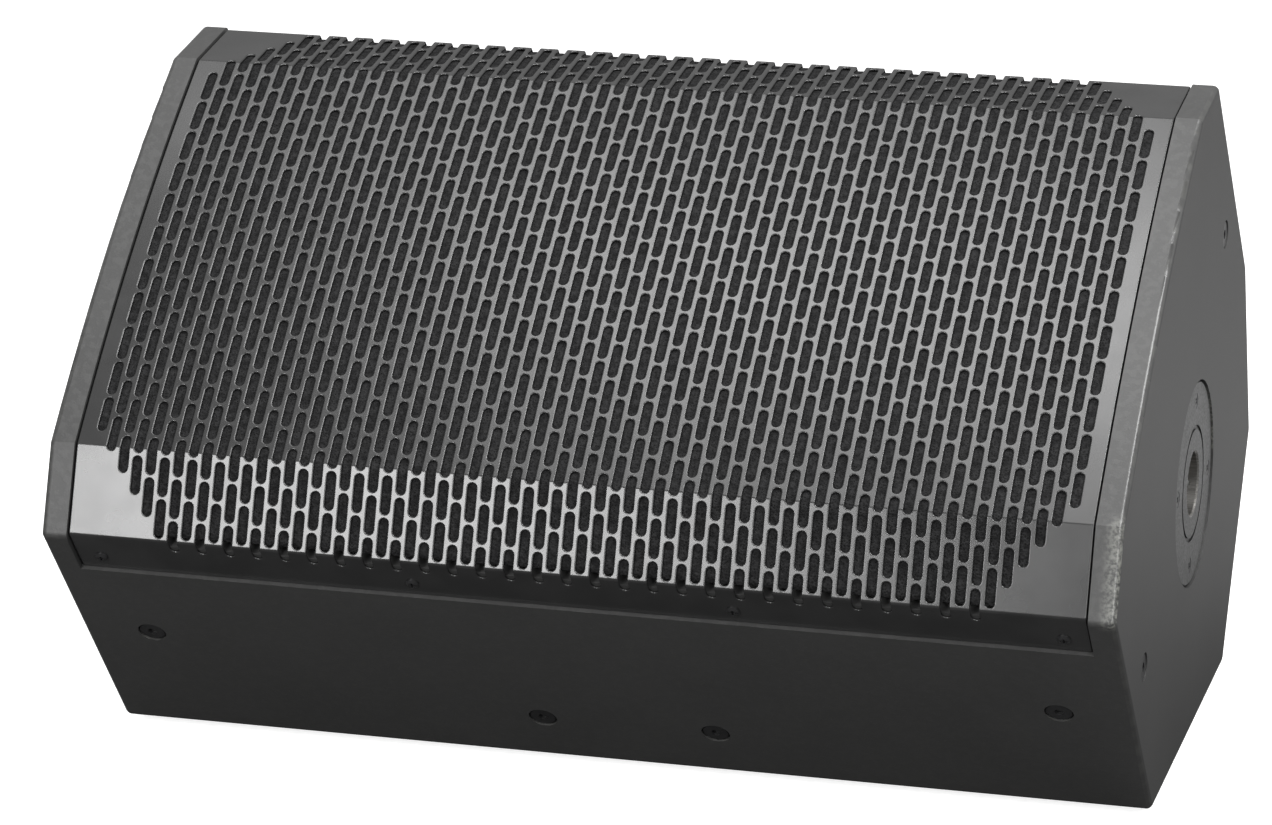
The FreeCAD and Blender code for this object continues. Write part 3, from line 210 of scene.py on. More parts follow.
def cabinet_paint():
    """Charcoal textured paint, fine-grained, rubbed smooth on the side panels' round edges and pitted on the right
    one's front edge, over the heights in WORN_Z."""
    f = Finish("cabinet_paint", 0.5)
    base = (0.040, 0.040, 0.0395)
    grain = f.noise(1.1, 3.0)
    cloud = f.noise(60.0, 3.0)
    tone = f.blend(f.span(cloud, 0.3, 0.7), shade(base, 0.96), shade(base, 1.05))
    speck = f.blend(f.span(grain, 0.55, 0.8), tone, shade(base, 1.4))
    forward = f.span(f.facing((0, -0.9, 0.43)), 0.3, 0.7)
    mottle = f.sum("MULTIPLY", forward, f.span(f.noise(4.5, 5.0), 0.44, 0.62))
    speck = f.blend(f.sum("MULTIPLY", mottle, 0.28), speck, shade(base, 1.8))
    across = f.sum("ABSOLUTE", f.facing((1, 0, 0)))
    rounded = f.sum("MULTIPLY", f.span(across, 0.12, 0.4), f.span(across, 0.97, 0.8))
    rubbed = f.sum("MULTIPLY", rounded, f.span(f.noise(9.0, 5.0), 0.40, 0.70), clamp=True)
    aged = f.blend(f.sum("MULTIPLY", rubbed, 0.3), speck, (0.10, 0.101, 0.092))
    outer = f.span(f.axis("X"), *WORN_X)
    low = f.sum("MULTIPLY", f.span(f.axis("Z"), *WORN_Z[:2]), f.span(f.axis("Z"), *WORN_Z[:1:-1]))
    worn = f.sum("MULTIPLY", f.sum("MULTIPLY", outer, low), f.span(f.facing((0, -0.92, 0.39)), 0.15, 0.45))
    pitted = f.sum("MULTIPLY", worn, f.span(f.noise(1.9, 6.0), 0.34, 0.66))
    f.colour(f.blend(pitted, aged, (0.17, 0.172, 0.158)))
    f.rough(f.span(rounded, 0.0, 1.0, 0.5, 0.30))
    f.bump(f.sum("ADD", grain, mottle), 0.08, 0.5)
    return f.material


def grille_paint():
    """Smooth semi-gloss black enamel over pressed steel."""
    f = Finish("grille_paint", 0.26)
    base = (0.020, 0.020, 0.020)
    f.colour(f.blend(f.span(f.noise(25.0), 0.35, 0.65), shade(base, 0.9), shade(base, 1.15)))
    f.rough(f.span(f.noise(14.0, 3.0), 0.3, 0.7, 0.245, 0.265))
    f.shader.inputs["Specular IOR Level"].default_value = 0.66
    return f.material


def foam_finish():
    """Open-cell charcoal foam."""
    f = Finish("grille_foam", 0.95)
    pores = f.cells(1.3)
    lumps = f.noise(3.5, 4.0)
    pale = f.blend(f.span(lumps, 0.3, 0.7), (0.008, 0.008, 0.0083), (0.020, 0.020, 0.0205))
    f.colour(f.blend(f.span(pores, 0.1, 0.5), (0.004, 0.004, 0.004), pale))
    f.shader.inputs["Specular IOR Level"].default_value = 0.15
    f.bump(f.sum("ADD", pores, lumps), 0.8, 0.9)
    return f.material


def painted(name, colour, roughness, grain_mm=1.5, depth_mm=0.03):
    """Sprayed paint or oxide on metal: a fine grain, with rubbed patches a little smoother."""
    f = Finish(name, roughness)
    grain = f.noise(grain_mm, 2.0)
    patch = f.noise(12.0, 4.0)
    f.colour(f.blend(f.span(patch, 0.35, 0.7), shade(colour, 0.85), shade(colour, 1.25)))
    f.rough(f.span(patch, 0.3, 0.7, roughness + 0.06, roughness - 0.07))
    f.bump(grain, depth_mm, 0.5)
    return f.material


def plated(name, colour, roughness, streak=(1.0, 1.0, 1.0)):
    """Bare or plated metal with fine machining streaks and dull patches."""
    f = Finish(name, roughness, 1.0)
    streaks = f.noise(0.8, 3.0, f.stretched(*streak))
    dull = f.noise(14.0, 4.0)
    f.colour(f.blend(f.span(dull, 0.35, 0.75), colour, shade(colour, 0.72)))
    f.rough(f.span(dull, 0.3, 0.7, roughness - 0.05, roughness + 0.12))
    f.bump(streaks, 0.01, 0.4)
    return f.material


def moulded(name, colour, roughness, grain_mm=0.6, depth_mm=0.03):
    """Moulded plastic with a spark-eroded grain."""
    f = Finish(name, roughness)
    grain = f.cells(grain_mm)
    f.colour(f.blend(f.span(f.noise(20.0, 3.0), 0.3, 0.7), shade(colour, 0.88), shade(colour, 1.14)))
    f.rough(f.span(grain, 0.1, 0.7, roughness - 0.04, roughness + 0.08))
    f.bump(grain, depth_mm, 0.4)
    return f.material


def woven(name, colour, thread_mm, depth_mm=0.15):
    """A plain weave in the baffle's plane, with a doped or resin-dipped sheen."""
    f = Finish(name, 0.7)
    tilt = math.atan2(UP.z, UP.y)
    turn = f.add("ShaderNodeVectorRotate", rotation_type="X_AXIS")
    f.link(f.here, turn.inputs["Vector"])
    turn.inputs["Angle"].default_value = -tilt
    turns = 2 * math.pi / (thread_mm * MM)
    warp = f.sum("SINE", f.sum("MULTIPLY", f.axis("X", turn.outputs[0]), turns))
    weft = f.sum("SINE", f.sum("MULTIPLY", f.axis("Y", turn.outputs[0]), turns))
    weave = f.sum("MULTIPLY", warp, weft)
    f.colour(f.blend(f.span(weave, -0.8, 0.8), shade(colour, 0.7), shade(colour, 1.2)))
    f.rough(f.span(f.noise(8.0), 0.3, 0.7, 0.55, 0.8))
    f.bump(weave, depth_mm, 0.6)
    return f.material


def pressed_paper():
    """Pulp cone paper: fibres and a faint coating."""
    f = Finish("paper_cone", 0.75)
    fibres = f.noise(1.4, 6.0, f.stretched(1.0, 3.0, 3.0))
    f.colour(f.blend(f.span(fibres, 0.35, 0.7), (0.035, 0.034, 0.032), (0.085, 0.082, 0.077)))
    f.bump(fibres, 0.12, 0.7)
    return f.material


def plywood():
    """Sawn birch plywood: long grain with darker growth lines."""
    f = Finish("bare_plywood", 0.65)
    grain = f.noise(2.5, 4.0, f.stretched(0.05, 1.0, 1.0))
    rings = f.noise(18.0, 2.0, f.stretched(0.08, 1.0, 1.0))
    light = f.blend(f.span(grain, 0.35, 0.7), (0.60, 0.44, 0.27), (0.46, 0.32, 0.18))
    f.colour(f.blend(f.span(rings, 0.5, 0.62), light, (0.36, 0.24, 0.13)))
    f.bump(grain, 0.15, 0.5)
    return f.material


def wound(name, colour, wire_mm):
    """Lacquered wire laid in turns."""
    f = Finish(name, 0.32, 1.0)
    turns = 2 * math.pi / (wire_mm * MM)
    lay = f.sum("SINE", f.sum("MULTIPLY", f.axis("Z"), turns))
    f.colour(f.blend(f.span(lay, -0.9, 0.5), shade(colour, 0.55), colour))
    f.bump(lay, wire_mm * 0.3, 0.6)
    return f.material


def board_finish():
    """Green solder mask with the traces showing through as slightly paler tracks."""
    f = Finish("circuit_board", 0.3)
    tracks = f.cells(7.0, "DISTANCE_TO_EDGE")
    f.colour(f.blend(f.span(tracks, 0.06, 0.12), (0.10, 0.30, 0.14), (0.035, 0.16, 0.065)))
    f.bump(tracks, 0.04, 0.4)
    return f.material


def cement():
    """Off-white cast cement, slightly pitted."""
    f = Finish("resistor_cement", 0.85)
    pits = f.cells(1.8)
    f.colour(f.blend(f.span(f.noise(5.0, 4.0), 0.3, 0.7), (0.80, 0.78, 0.73), (0.66, 0.64, 0.59)))
    f.bump(pits, 0.15, 0.5)
    return f.material


def fleece_finish():
    """Loose polyester fibres."""
    f = Finish("fleece", 0.95)
    fibres = f.noise(1.6, 8.0)
    tufts = f.noise(16.0, 3.0)
    f.colour(f.blend(f.span(fibres, 0.35, 0.7), (0.16, 0.16, 0.155), (0.42, 0.42, 0.40)))
    f.bump(f.sum("ADD", fibres, tufts), 1.5, 0.8)
    return f.material


BORE_R = 18.0
RING_GROOVE_R = (30.6, 33.2)


def socket_finish():
    """The pole socket: satin black paint, rubbed bright in the bore, with painted shade darkening the ring groove
    round its mouth.
    """
    f = Finish("socket_steel", 0.42)
    y = f.sum("SUBTRACT", f.axis("Y"), POLE.y)
    z = f.sum("SUBTRACT", f.axis("Z"), POLE.z)
    radius = f.sum("SQRT", f.sum("ADD", f.sum("MULTIPLY", y, y), f.sum("MULTIPLY", z, z)))
    bare = f.span(radius, (BORE_R + 1.3) * MM, (BORE_R + 0.6) * MM)
    groove = f.sum("MULTIPLY", f.span(radius, (RING_GROOVE_R[0] - 0.2) * MM, RING_GROOVE_R[0] * MM),
                   f.span(radius, (RING_GROOVE_R[1] + 0.2) * MM, RING_GROOVE_R[1] * MM))
    streaks = f.noise(1.2, 4.0, f.stretched(0.05, 1.0, 1.0))
    patch = f.noise(9.0, 4.0)
    paint = f.blend(f.span(patch, 0.3, 0.7), (0.028, 0.0285, 0.0285), (0.042, 0.0425, 0.0425))
    # painted shade: the paint inside the ring groove is darkened to near black, standing in for the shade that
    # falls in the recess
    paint = f.blend(groove, paint, (0.012, 0.012, 0.012))
    steel = f.blend(f.span(streaks, 0.3, 0.7), (0.42, 0.41, 0.39), (0.20, 0.195, 0.185))
    f.colour(f.blend(bare, paint, steel))
    f.feed(f.shader.inputs["Metallic"], bare)
    f.shader.inputs["Specular IOR Level"].default_value = 0.40
    f.rough(f.span(streaks, 0.3, 0.7, 0.30, 0.44))
    f.bump(f.noise(1.2, 3.0), 0.05, 0.4)
    return f.material


FINISHES = {
    "cabinet_paint": cabinet_paint(),
    "grille_paint": grille_paint(),
    "grille_foam": foam_finish(),
    "bare_plywood": plywood(),
    "black_screws": painted("black_screws", (0.016, 0.016, 0.0165), 0.36, 0.8, 0.01),
    "basket_paint": painted("basket_paint", (0.028, 0.028, 0.028), 0.5, 1.2, 0.05),
    "rubber": moulded("rubber", (0.022, 0.022, 0.022), 0.72, 0.9, 0.05),
    "coated_cloth": woven("coated_cloth", (0.045, 0.043, 0.041), 0.7),
    "paper_cone": pressed_paper(),
    "coil_former": moulded("coil_former", (0.50, 0.30, 0.08), 0.3, 2.0, 0.01),
    "copper": wound("copper", (0.80, 0.38, 0.19), 0.9),
    "spider_cloth": woven("spider_cloth", (0.52, 0.38, 0.16), 0.9),
    "zinc_steel": plated("zinc_steel", (0.66, 0.67, 0.66), 0.34, (0.2, 1.0, 1.0)),
    "ferrite": moulded("ferrite", (0.075, 0.075, 0.08), 0.6, 1.6, 0.06),
    "brass_terminals": plated("brass_terminals", (0.78, 0.62, 0.32), 0.3),
    "black_plastic": moulded("black_plastic", (0.028, 0.028, 0.029), 0.48),
    "titanium_foil": plated("titanium_foil", (0.62, 0.62, 0.64), 0.25),
    "socket_steel": socket_finish(),
    "plate_paint": painted("plate_paint", (0.026, 0.026, 0.026), 0.4, 1.0, 0.03),
    "nylon": moulded("nylon", (0.74, 0.73, 0.68), 0.42, 3.0, 0.02),
    "circuit_board": board_finish(),
    "capacitor_film": moulded("capacitor_film", (0.56, 0.38, 0.05), 0.28, 4.0, 0.03),
    "resistor_cement": cement(),
    "cable_sheath": moulded("cable_sheath", (0.032, 0.032, 0.033), 0.55, 1.5, 0.02),
    "fleece": fleece_finish(),
}

for subpart in frame["record"]["subparts"]:
    node = frame["nodes"][subpart["node"]]
    node.data.materials.clear()
    node.data.materials.append(FINISHES[subpart["material_slot"]])


# ---------------------------------------------------------------- the grille's path
# s is the distance along the outer face from the crown, with the folds rounded; depth is measured inwards.

STEEL = 1.2
BOW_R = 1150.0
BEND_V = 134.0
FACET_ANGLE = math.radians(31.0)
FLANGE_V = 176.8
FLANGE_END_N = -65.0
FACET_FOLD_R = 3.0
FLANGE_FOLD_R = 2.2

BOW_ANGLE = math.asin(BEND_V / BOW_R)
BEND_N = BOW_R * math.cos(BOW_ANGLE) - BOW_R
FACET_FOLD = FACET_ANGLE - BOW_ANGLE
FLANGE_FOLD = math.pi / 2 - FACET_ANGLE
FACET_END_N = BEND_N - (FLANGE_V - BEND_V) * math.tan(FACET_ANGLE)

# The path as (length, turn) stretches: bow, fold, facet, fold, flange
FACET_SETBACK = FACET_FOLD_R * math.tan(FACET_FOLD / 2)
FLANGE_SETBACK = FLANGE_FOLD_R * math.tan(FLANGE_FOLD / 2)
FACET_RUN = (FLANGE_V - BEND_V) / math.cos(FACET_ANGLE) - FACET_SETBACK - FLANGE_SETBACK
STRETCHES = (
    (BOW_R * BOW_ANGLE - FACET_SETBACK, BOW_ANGLE - FACET_SETBACK / BOW_R),
    (FACET_FOLD_R * FACET_FOLD, FACET_FOLD + FACET_SETBACK / BOW_R),
    (FACET_RUN, 0.0),
    (FLANGE_FOLD_R * FLANGE_FOLD, FLANGE_FOLD),
    (FACET_END_N - FLANGE_END_N - FLANGE_SETBACK, 0.0),
)
STOPS = np.cumsum([0.0] + [length for length, _ in STRETCHES])
PATH_END = STOPS[-1]


def along_path(s):
    """v, n and the slope angle at distances s from the crown, all arrays."""
    reach = np.abs(s)
    v, n, angle = np.zeros_like(reach), np.zeros_like(reach), np.zeros_like(reach)
    start_v, start_n, start_angle = 0.0, 0.0, 0.0
    for start, (length, turn) in zip(STOPS, STRETCHES):
        inside = reach >= start - 1e-9
        gone = np.minimum(reach - start, length if start < STOPS[-2] else 1e9)
        if turn:
            radius = length / turn
            here = start_angle + gone / radius
            step_v = radius * (np.sin(here) - math.sin(start_angle))
            step_n = radius * (np.cos(here) - math.cos(start_angle))
        else:
            here = np.full_like(reach, start_angle)
            step_v = gone * math.cos(start_angle)
            step_n = -gone * math.sin(start_angle)
        v[inside] = (start_v + step_v)[inside]
        n[inside] = (start_n + step_n)[inside]
        angle[inside] = here[inside]
        if turn:
            start_v += radius * (math.sin(start_angle + turn) - math.sin(start_angle))
            start_n += radius * (math.cos(start_angle + turn) - math.cos(start_angle))
        else:
            start_v += length * math.cos(start_angle)
            start_n -= length * math.sin(start_angle)
        start_angle += turn
    side = np.where(s < 0, -1.0, 1.0)
    return v * side, n, angle * side


def on_sheet(flat):
    """Flat (x, s, depth) rows bent to the grille's shape, as (x, v, n) rows, and the outward normals there."""
    v, n, angle = along_path(flat[:, 1])
    out_v, out_n = np.sin(angle), np.cos(angle)
    points = np.stack([flat[:, 0], v - flat[:, 2] * out_v, n - flat[:, 2] * out_n], 1)
    normals = np.stack([np.zeros_like(v), out_v, out_n], 1)
    return points, normals


# ---------------------------------------------------------------- the slotted grille

HALF_WIDTH = 284.0
COLUMN_PITCH = 8.0
ROW_PITCH = 11.46
LAST_ROW = 16
LAST_COLUMN = 34
LAST_FULL_ROW = 10
SLOT_R = 2.5
SLOT_HALF = 10.4
ROLLED = 0.8
ARC_STEPS = 6
ROLL_STEPS = 2
STRAIGHT = SLOT_HALF - SLOT_R
EDGE_STOPS = (0.0, ROW_PITCH - STRAIGHT, STRAIGHT, ROW_PITCH)


def has_slot(column, row):
    """Whether the lattice has a slot here; the outer rows step in at their ends."""
    last = LAST_COLUMN - max(0, abs(row) - LAST_FULL_ROW)
    return abs(row) <= LAST_ROW and abs(column) <= last and (column + row) % 2 == 0


def slot_outline(radius):
    """Points round a slot from its right side's lower end, with the ends as half circles."""
    points = []
    for sign in (1, -1):
        for i in range(ARC_STEPS + 1):
            angle = math.pi * i / ARC_STEPS + (0 if sign > 0 else math.pi)
            points.append((radius * math.cos(angle), sign * STRAIGHT + radius * math.sin(angle)))
    return points


class FlatSheet:
    """A closed slotted sheet in (x, s, depth), with shared vertices."""

    def __init__(self):
        self.verts, self.faces, self.known = [], [], {}

    def vertex(self, x, s, depth):
        key = (round(x, 3), round(s, 3), round(depth, 3))
        if key not in self.known:
            self.known[key] = len(self.verts)
            self.verts.append((x, s, depth))
        return self.known[key]

    def face(self, points, depth, outward):
        """A polygon in the sheet at one depth; points run anticlockwise seen from outside."""
        ring = [self.vertex(x, s, depth) for x, s in points]
        self.faces.append(ring if outward else ring[::-1])

    def both(self, points):
        """A polygon on both faces of the sheet."""
        self.face(points, 0.0, True)
        self.face(points, STEEL, False)

    def cell(self, x, s):
        """One slot with the steel round it, out to the lines halfway to its neighbours."""
        half = COLUMN_PITCH / 2
        profile = [(ROLLED * (1 - math.sin(a)), ROLLED * (1 - math.cos(a)))
                   for a in (math.pi / 2 * i / ROLL_STEPS for i in range(ROLL_STEPS + 1))]
        profile.append((0.0, STEEL))
        rings = []
        for widen, depth in profile:
            outline = slot_outline(SLOT_R + widen)
            rings.append([self.vertex(x + a, s + b, depth) for a, b in outline])
        for outer, inner in zip(rings, rings[1:]):
            for i in range(len(outer)):
                j = (i + 1) % len(outer)
                self.faces.append([outer[i], outer[j], inner[j], inner[i]])
        for widen, depth, outward in ((ROLLED, 0.0, True), (0.0, STEEL, False)):
            ring = [(x + a, s + b) for a, b in slot_outline(SLOT_R + widen)]
            self.around(ring, x, s, half, depth, outward)

    def around(self, ring, x, s, half, depth, outward):
        """The flat steel between a slot's outline and its cell's border."""
        count = ARC_STEPS + 1
        mid = ARC_STEPS // 2
        right = [(x + half, s + b) for b in border_stops()]
        left = [(x - half, s + b) for b in border_stops()][::-1]
        for side, start, finish in ((right, ring[-1], ring[0]), (left, ring[count - 1], ring[count])):
            self.face([start] + side[1:-1] + [finish], depth, outward)
        for sign, arc in ((1, ring[:count]), (-1, ring[count:])):
            first, last = (right, left) if sign > 0 else (left, right)
            near = first[-2:]
            far = last[:2]
            self.face([arc[0], near[0], near[1], arc[1]], depth, outward)
            for i in range(1, mid - 1):
                self.face([arc[i], near[1], arc[i + 1]], depth, outward)
            self.face(arc[mid - 1:mid + 2][::-1] + [near[1], far[0]], depth, outward)
            for i in range(mid + 1, ARC_STEPS - 1):
                self.face([arc[i], far[0], arc[i + 1]], depth, outward)
            self.face([arc[-2], far[0], far[1], arc[-1]], depth, outward)

    def plain(self, x0, x1, s0, stops):
        """A stretch of sheet with no slot in it."""
        for low, high in zip(stops, stops[1:]):
            self.both([(x0, s0 + low), (x1, s0 + low), (x1, s0 + high), (x0, s0 + high)])


def border_stops():
    """The distances along a cell's side at which its neighbours' corners lie."""
    return [-stop for stop in EDGE_STOPS[::-1]] + list(EDGE_STOPS[1:])


def flat_grille():
    """The whole sheet with its slots, unfolded."""
    sheet = FlatSheet()
    side_columns = LAST_COLUMN + 1
    tail = PATH_END - (LAST_ROW + 1) * ROW_PITCH
    rim = HALF_WIDTH - ROLLED
    for column in range(-side_columns, side_columns + 1):
        x = column * COLUMN_PITCH
        x0, x1 = max(x - COLUMN_PITCH / 2, -rim), min(x + COLUMN_PITCH / 2, rim)
        row = -LAST_ROW - 1
        while row <= LAST_ROW:
            if has_slot(column, row + 1):
                sheet.cell(x, (row + 1) * ROW_PITCH)
                row += 2
            else:
                sheet.plain(x0, x1, row * ROW_PITCH, EDGE_STOPS)
                row += 1
        sheet.plain(x0, x1, (LAST_ROW + 1) * ROW_PITCH, (0.0, tail))
        sheet.plain(x0, x1, -PATH_END, (0.0, tail))
    return sheet


def rim_profile():
    """(x, depth) round the sheet's side edge, from its front to its back."""
    turns = [math.pi / 2 * i / ROLL_STEPS for i in range(ROLL_STEPS + 1)]
    rim = HALF_WIDTH - ROLLED
    profile = [(rim + ROLLED * math.sin(a), ROLLED * (1 - math.cos(a))) for a in turns]
    return profile + [(HALF_WIDTH, STEEL), (rim, STEEL)]


def close_rim(sheet):
    """The rolled side edges and the plain ends of the flanges."""
    rim = HALF_WIDTH - ROLLED
    profile = rim_profile()
    stops = sorted({key[1] for key in sheet.known if abs(key[0] - rim) < 0.01 and key[2] == 0.0})
    for sign in (-1, 1):
        for low, high in zip(stops, stops[1:]):
            for (xa, da), (xb, db) in zip(profile, profile[1:]):
                ring = [sheet.vertex(sign * xa, low, da), sheet.vertex(sign * xb, low, db),
                        sheet.vertex(sign * xb, high, db), sheet.vertex(sign * xa, high, da)]
                sheet.faces.append(ring if sign > 0 else ring[::-1])
        for end in (stops[0], stops[-1]):
            ring = [sheet.vertex(sign * x, end, depth) for x, depth in profile]
            sheet.faces.append(ring if (sign > 0) == (end > 0) else ring[::-1])
    for end in (stops[0], stops[-1]):
        across = sorted({key[0] for key in sheet.known
                         if abs(key[1] - end) < 0.01 and key[2] == 0.0 and abs(key[0]) <= rim + 0.01})
        for x0, x1 in zip(across, across[1:]):
            ring = [sheet.vertex(x0, end, 0.0), sheet.vertex(x0, end, STEEL),
                    sheet.vertex(x1, end, STEEL), sheet.vertex(x1, end, 0.0)]
            sheet.faces.append(ring if end < 0 else ring[::-1])


def fold_cuts():
    """Where the flat sheet is divided so that its folds can bend."""
    cuts = list(np.linspace(STOPS[1], STOPS[2], 3)) + list(np.linspace(STOPS[3], STOPS[4], 5))
    return [-cut for cut in cuts] + cuts


def flat_normals(flat):
    """Shading normals of the unfolded sheet: level on its faces, turning over every rolled edge."""
    x, s, depth = flat.T
    normals = np.zeros_like(flat)
    normals[:, 2] = np.where(depth > STEEL - 0.01, -1.0, 1.0)
    column = np.round(x / COLUMN_PITCH)
    half_row = s / ROW_PITCH
    row = column + 2 * np.round((half_row - column) / 2)
    dx, ds = x - column * COLUMN_PITCH, s - row * ROW_PITCH
    beyond = np.sign(ds) * np.maximum(np.abs(ds) - STRAIGHT, 0)
    reach = np.maximum(np.hypot(dx, beyond), 1e-6)
    side = (depth > 1e-4) & (depth < STEEL - 0.01)
    roll = np.arccos(np.clip(1 - np.minimum(depth, ROLLED) / ROLLED, -1, 1))
    edge = np.abs(x) > HALF_WIDTH - ROLLED - 0.01
    toward_x = np.where(edge, np.sign(x), -dx / reach)
    toward_s = np.where(edge, 0.0, -beyond / reach)
    for i, part in enumerate((toward_x * np.sin(roll), toward_s * np.sin(roll), np.cos(roll))):
        normals[side, i] = part[side]
    return normals


def slotted_grille():
    """The pressed grille: a bowed main face, two facets and two return flanges, with rolled slot edges."""
    sheet = flat_grille()
    close_rim(sheet)
    mesh = bpy.data.meshes.new("slotted_grille")
    mesh.from_pydata(sheet.verts, [], sheet.faces)
    work = bmesh.new()
    work.from_mesh(mesh)
    for cut in fold_cuts():
        everything = work.verts[:] + work.edges[:] + work.faces[:]
        bmesh.ops.bisect_plane(work, geom=everything, dist=1e-4, plane_co=(0, cut, 0), plane_no=(0, 1, 0))
    work.to_mesh(mesh)
    work.free()
    flat = np.zeros(len(mesh.vertices) * 3)
    mesh.vertices.foreach_get("co", flat)
    flat = flat.reshape(-1, 3)
    points, outward = on_sheet(flat)
    level = flat_normals(flat)
    along = np.stack([np.zeros(len(flat)), outward[:, 2], -outward[:, 1]], 1)
    normals = level[:, :1] * np.array([[1.0, 0, 0]]) + level[:, 1:2] * along + level[:, 2:3] * outward
    axes = np.array([(1, 0, 0), tuple(UP), tuple(OUT)])
    mesh.vertices.foreach_set("co", placed(points).ravel())
    mesh.polygons.foreach_set("use_smooth", [True] * len(mesh.polygons))
    mesh.update()
    mesh.normals_split_custom_set_from_vertices((normals @ axes).tolist())
    piece = bpy.data.objects.new("slotted_grille", mesh)
    bpy.context.scene.collection.objects.link(piece)
    return settle(piece, "root", "grille_paint", "grille")


# ---------------------------------------------------------------- foam behind the grille

FOAM_GAP = 0.15
FOAM_T = 4.8
FOAM_HALF_WIDTH = 281.0
FOAM_END = 181.0
FOAM_CELL = 3.0
FOAM_LUMP = 0.35
FOAM_LUMP_SIZE = 7.0


def grid_faces(rows, columns, start=0, flip=False):
    """The quads of a grid of points whose first index is start."""
    faces = []
    for i in range(rows - 1):
        for j in range(columns - 1):
            a = start + i * columns + j
            ring = [a, a + 1, a + columns + 1, a + columns]
            faces.append(ring[::-1] if flip else ring)
    return faces


def wall_faces(rows, columns, back):
    """The four edge walls between a front grid and the back grid that starts at index back."""
    top = [(rows - 1) * columns + j for j in range(columns)]
    bottom = list(range(columns))
    left = [i * columns for i in range(rows)]
    right = [i * columns + columns - 1 for i in range(rows)]
    faces = []
    for line, flip in ((bottom, False), (right, False), (top, True), (left, True)):
        for a, b in zip(line, line[1:]):
            ring = [a, a + back, b + back, b]
            faces.append(ring[::-1] if flip else ring)
    return faces


def foam_sheet():
    """A sheet of open-cell foam that follows the grille's inside, slightly uneven."""
    rows = int(2 * FOAM_END / FOAM_CELL) + 1
    columns = int(2 * FOAM_HALF_WIDTH / FOAM_CELL) + 1
    s, x = np.meshgrid(np.linspace(-FOAM_END, FOAM_END, rows),
                       np.linspace(-FOAM_HALF_WIDTH, FOAM_HALF_WIDTH, columns), indexing="ij")
    x, s = x.ravel(), s.ravel()
    lumps = np.array([noise.noise(Vector((a / FOAM_LUMP_SIZE, b / FOAM_LUMP_SIZE, 0.0))) for a, b in zip(x, s)])
    front = STEEL + FOAM_GAP + FOAM_LUMP * (1 + lumps) / 2
    back = np.full_like(x, STEEL + FOAM_T)
    flat = np.concatenate([np.stack([x, s, front], 1), np.stack([x, s, back], 1)])
    count = rows * columns
    faces = grid_faces(rows, columns) + grid_faces(rows, columns, count, True) + wall_faces(rows, columns, count)
    piece = new_object("foam_sheet", placed(on_sheet(flat)[0]), faces)
    settle(piece, "root", "grille_foam", "grille_foam")
    return piece


# ---------------------------------------------------------------- fleece inside

LINING_LUMP = 2.5
LINING_LUMP_SIZE = 30.0
LINING_CELL = 8.0
LINING_EDGE = 9.0
LINING_BASE = 0.4


def rounded_mat(name, corner, along, across, through, size):
    """A fleece mat on a cabinet wall: crowned, soft-edged and uneven. Sizes in millimetres."""
    length, width, thick = size
    columns, rows = int(length / LINING_CELL) + 1, int(width / LINING_CELL) + 1
    points = []
    for layer in (1, 0):
        for i in range(rows):
            for j in range(columns):
                a, b = length * j / (columns - 1), width * i / (rows - 1)
                rim = min(a, b, length - a, width - b, LINING_EDGE) / LINING_EDGE
                crown = math.sqrt(max(0.0, 1 - (1 - rim) ** 2))
                lump = LINING_LUMP * noise.noise(Vector((a / LINING_LUMP_SIZE, b / LINING_LUMP_SIZE, 3.0)))
                height = (thick * (0.55 + 0.35 * crown) + lump) if layer else LINING_BASE
                points.append(corner + (along * a + across * b + through * height) * MM)
    count = rows * columns
    faces = grid_faces(rows, columns) + grid_faces(rows, columns, count, True) + wall_faces(rows, columns, count)
    if along.cross(across).dot(through) < 0:
        faces = [face[::-1] for face in faces]
    piece = new_object(name, points, faces)
    settle(piece, "root", "fleece", "acoustic_lining")
    return piece


ROOF_MAT = {"x": (-272.0, 124.0), "n": (-190.0, -80.0), "v": 164.0}
REAR_MAT = (500.0, 96.0)
MAT_T = 20.0
PANEL = 15.0
REAR_CORNER = (134.0, -306.0)
HEEL_CORNER = (0.0, -353.5)
REAR_MAT_MIDDLE = 71.0


def fleece_mats():
    """One mat under the top panel and one on the rear panel, each inside its CAD solid."""
    (x0, x1), (n0, n1) = ROOF_MAT["x"], ROOF_MAT["n"]
    right = Vector((1, 0, 0))
    rounded_mat("fleece_roof", place(x0, ROOF_MAT["v"], n0), right, OUT, -UP, (x1 - x0, n1 - n0, MAT_T))
    fall_v, fall_n = HEEL_CORNER[0] - REAR_CORNER[0], HEEL_CORNER[1] - REAR_CORNER[1]
    length = math.hypot(fall_v, fall_n)
    down = (UP * fall_v + OUT * fall_n) / length
    inward = (UP * fall_n - OUT * fall_v) / length
    start = place(-REAR_MAT[0] / 2, *REAR_CORNER) + down * (REAR_MAT_MIDDLE - REAR_MAT[1] / 2) * MM
    rounded_mat("fleece_rear", start + inward * PANEL * MM, right, down, inward, (*REAR_MAT, MAT_T))


# ---------------------------------------------------------------- cloth rings round the cones, built in sectors

BAFFLE_N = -40.0
WOOFER_X = -112.0
HORN_X = 162.0
SECTOR_STEPS = 6


